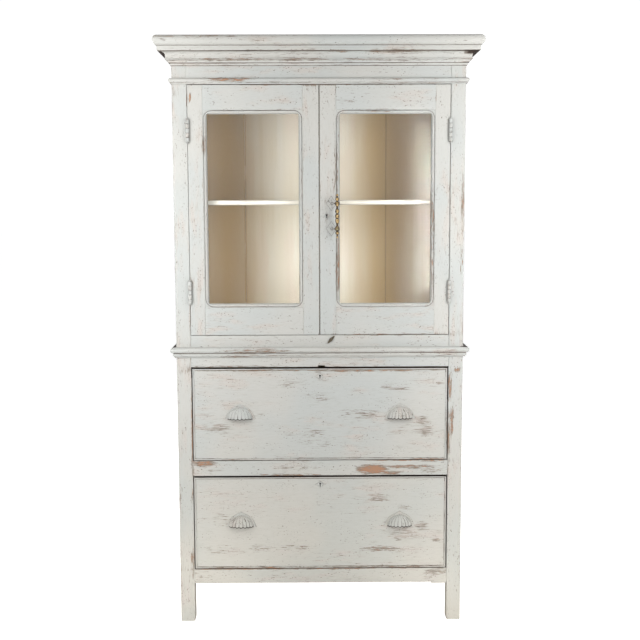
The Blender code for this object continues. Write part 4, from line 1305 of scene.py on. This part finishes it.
def build_room():
    """A white floor and sky, and soft lights; the sky itself gives little of the light."""
    size = 60.0
    mesh = bpy.data.meshes.new("floor")
    corners = [(-size, -size, 0), (size, -size, 0), (size, size, 0), (-size, size, 0)]
    mesh.from_pydata(corners, [], [(0, 1, 2, 3)])
    mesh.materials.append(pale_floor())
    floor = bpy.data.objects.new("floor", mesh)
    bpy.context.scene.collection.objects.link(floor)

    world = bpy.data.worlds.new("soft_white")
    bpy.context.scene.world = world
    world.use_nodes = True
    tree = world.node_tree
    seen = tree.nodes.new("ShaderNodeLightPath").outputs["Is Camera Ray"]
    strength = tree.nodes.new("ShaderNodeMapRange")
    strength.inputs["To Min"].default_value = AMBIENT
    strength.inputs["To Max"].default_value = SEEN_WHITE
    tree.links.new(seen, strength.inputs["Value"])
    sky = tree.nodes["Background"]
    sky.inputs["Color"].default_value = (1.0, 1.0, 1.0, 1.0)
    tree.links.new(strength.outputs["Result"], sky.inputs["Strength"])

    for name, place, aim, width, height, powers in PAIRED_LIGHTS:
        for (word, side), power in zip(SIDES, powers):
            add_light(f"{name}_{word}", (side * place[0], *place[1:]), (side * aim[0], *aim[1:]),
                      width, height, power)
    add_light("top", (0.0, -0.8, 3.6), (0.0, 0.0, 2.0), 1.6, 1.0, 9.0)
    # A narrow beam that reaches the back only through the right pane
    add_light("through_pane", (-0.20, -1.90, 1.49), (0.43, 0.21, 1.47), 0.10, 0.66, 0.13, 3.0)


def build_camera():
    """The photo's own camera, worked out from its perspective."""
    place = (-0.0326, FRONT_Y - 3.5372, 1.4713)
    pitch, yaw, roll = math.radians(6.23), math.radians(0.54), math.radians(-0.19)
    data = bpy.data.cameras.new("camera")
    data.sensor_width = 36.0
    data.lens = 57.57
    camera = bpy.data.objects.new("camera", data)
    turn = Matrix.Rotation(-yaw, 4, "Z") @ Matrix.Rotation(math.pi / 2 - pitch, 4, "X")
    camera.matrix_world = Matrix.Translation(place) @ turn @ Matrix.Rotation(roll, 4, "Z")
    bpy.context.scene.collection.objects.link(camera)
    bpy.context.scene.camera = camera
    bpy.context.scene.view_settings.view_transform = "Standard"


# ---------------------------------------------------------------- all of it
build_posts()
build_side_panels()
build_rails()
build_mouldings()
build_boards()
build_runner_frames()
for word, side in SIDES:
    for which in ("upper", "lower"):
        build_hinge(word, side, which)
for word, side in SIDES:
    build_door(word, side)
build_door_lock()
build_door_pull()
for word in ("upper", "lower"):
    build_drawer(word)
build_turn_button()
build_room()
build_camera()
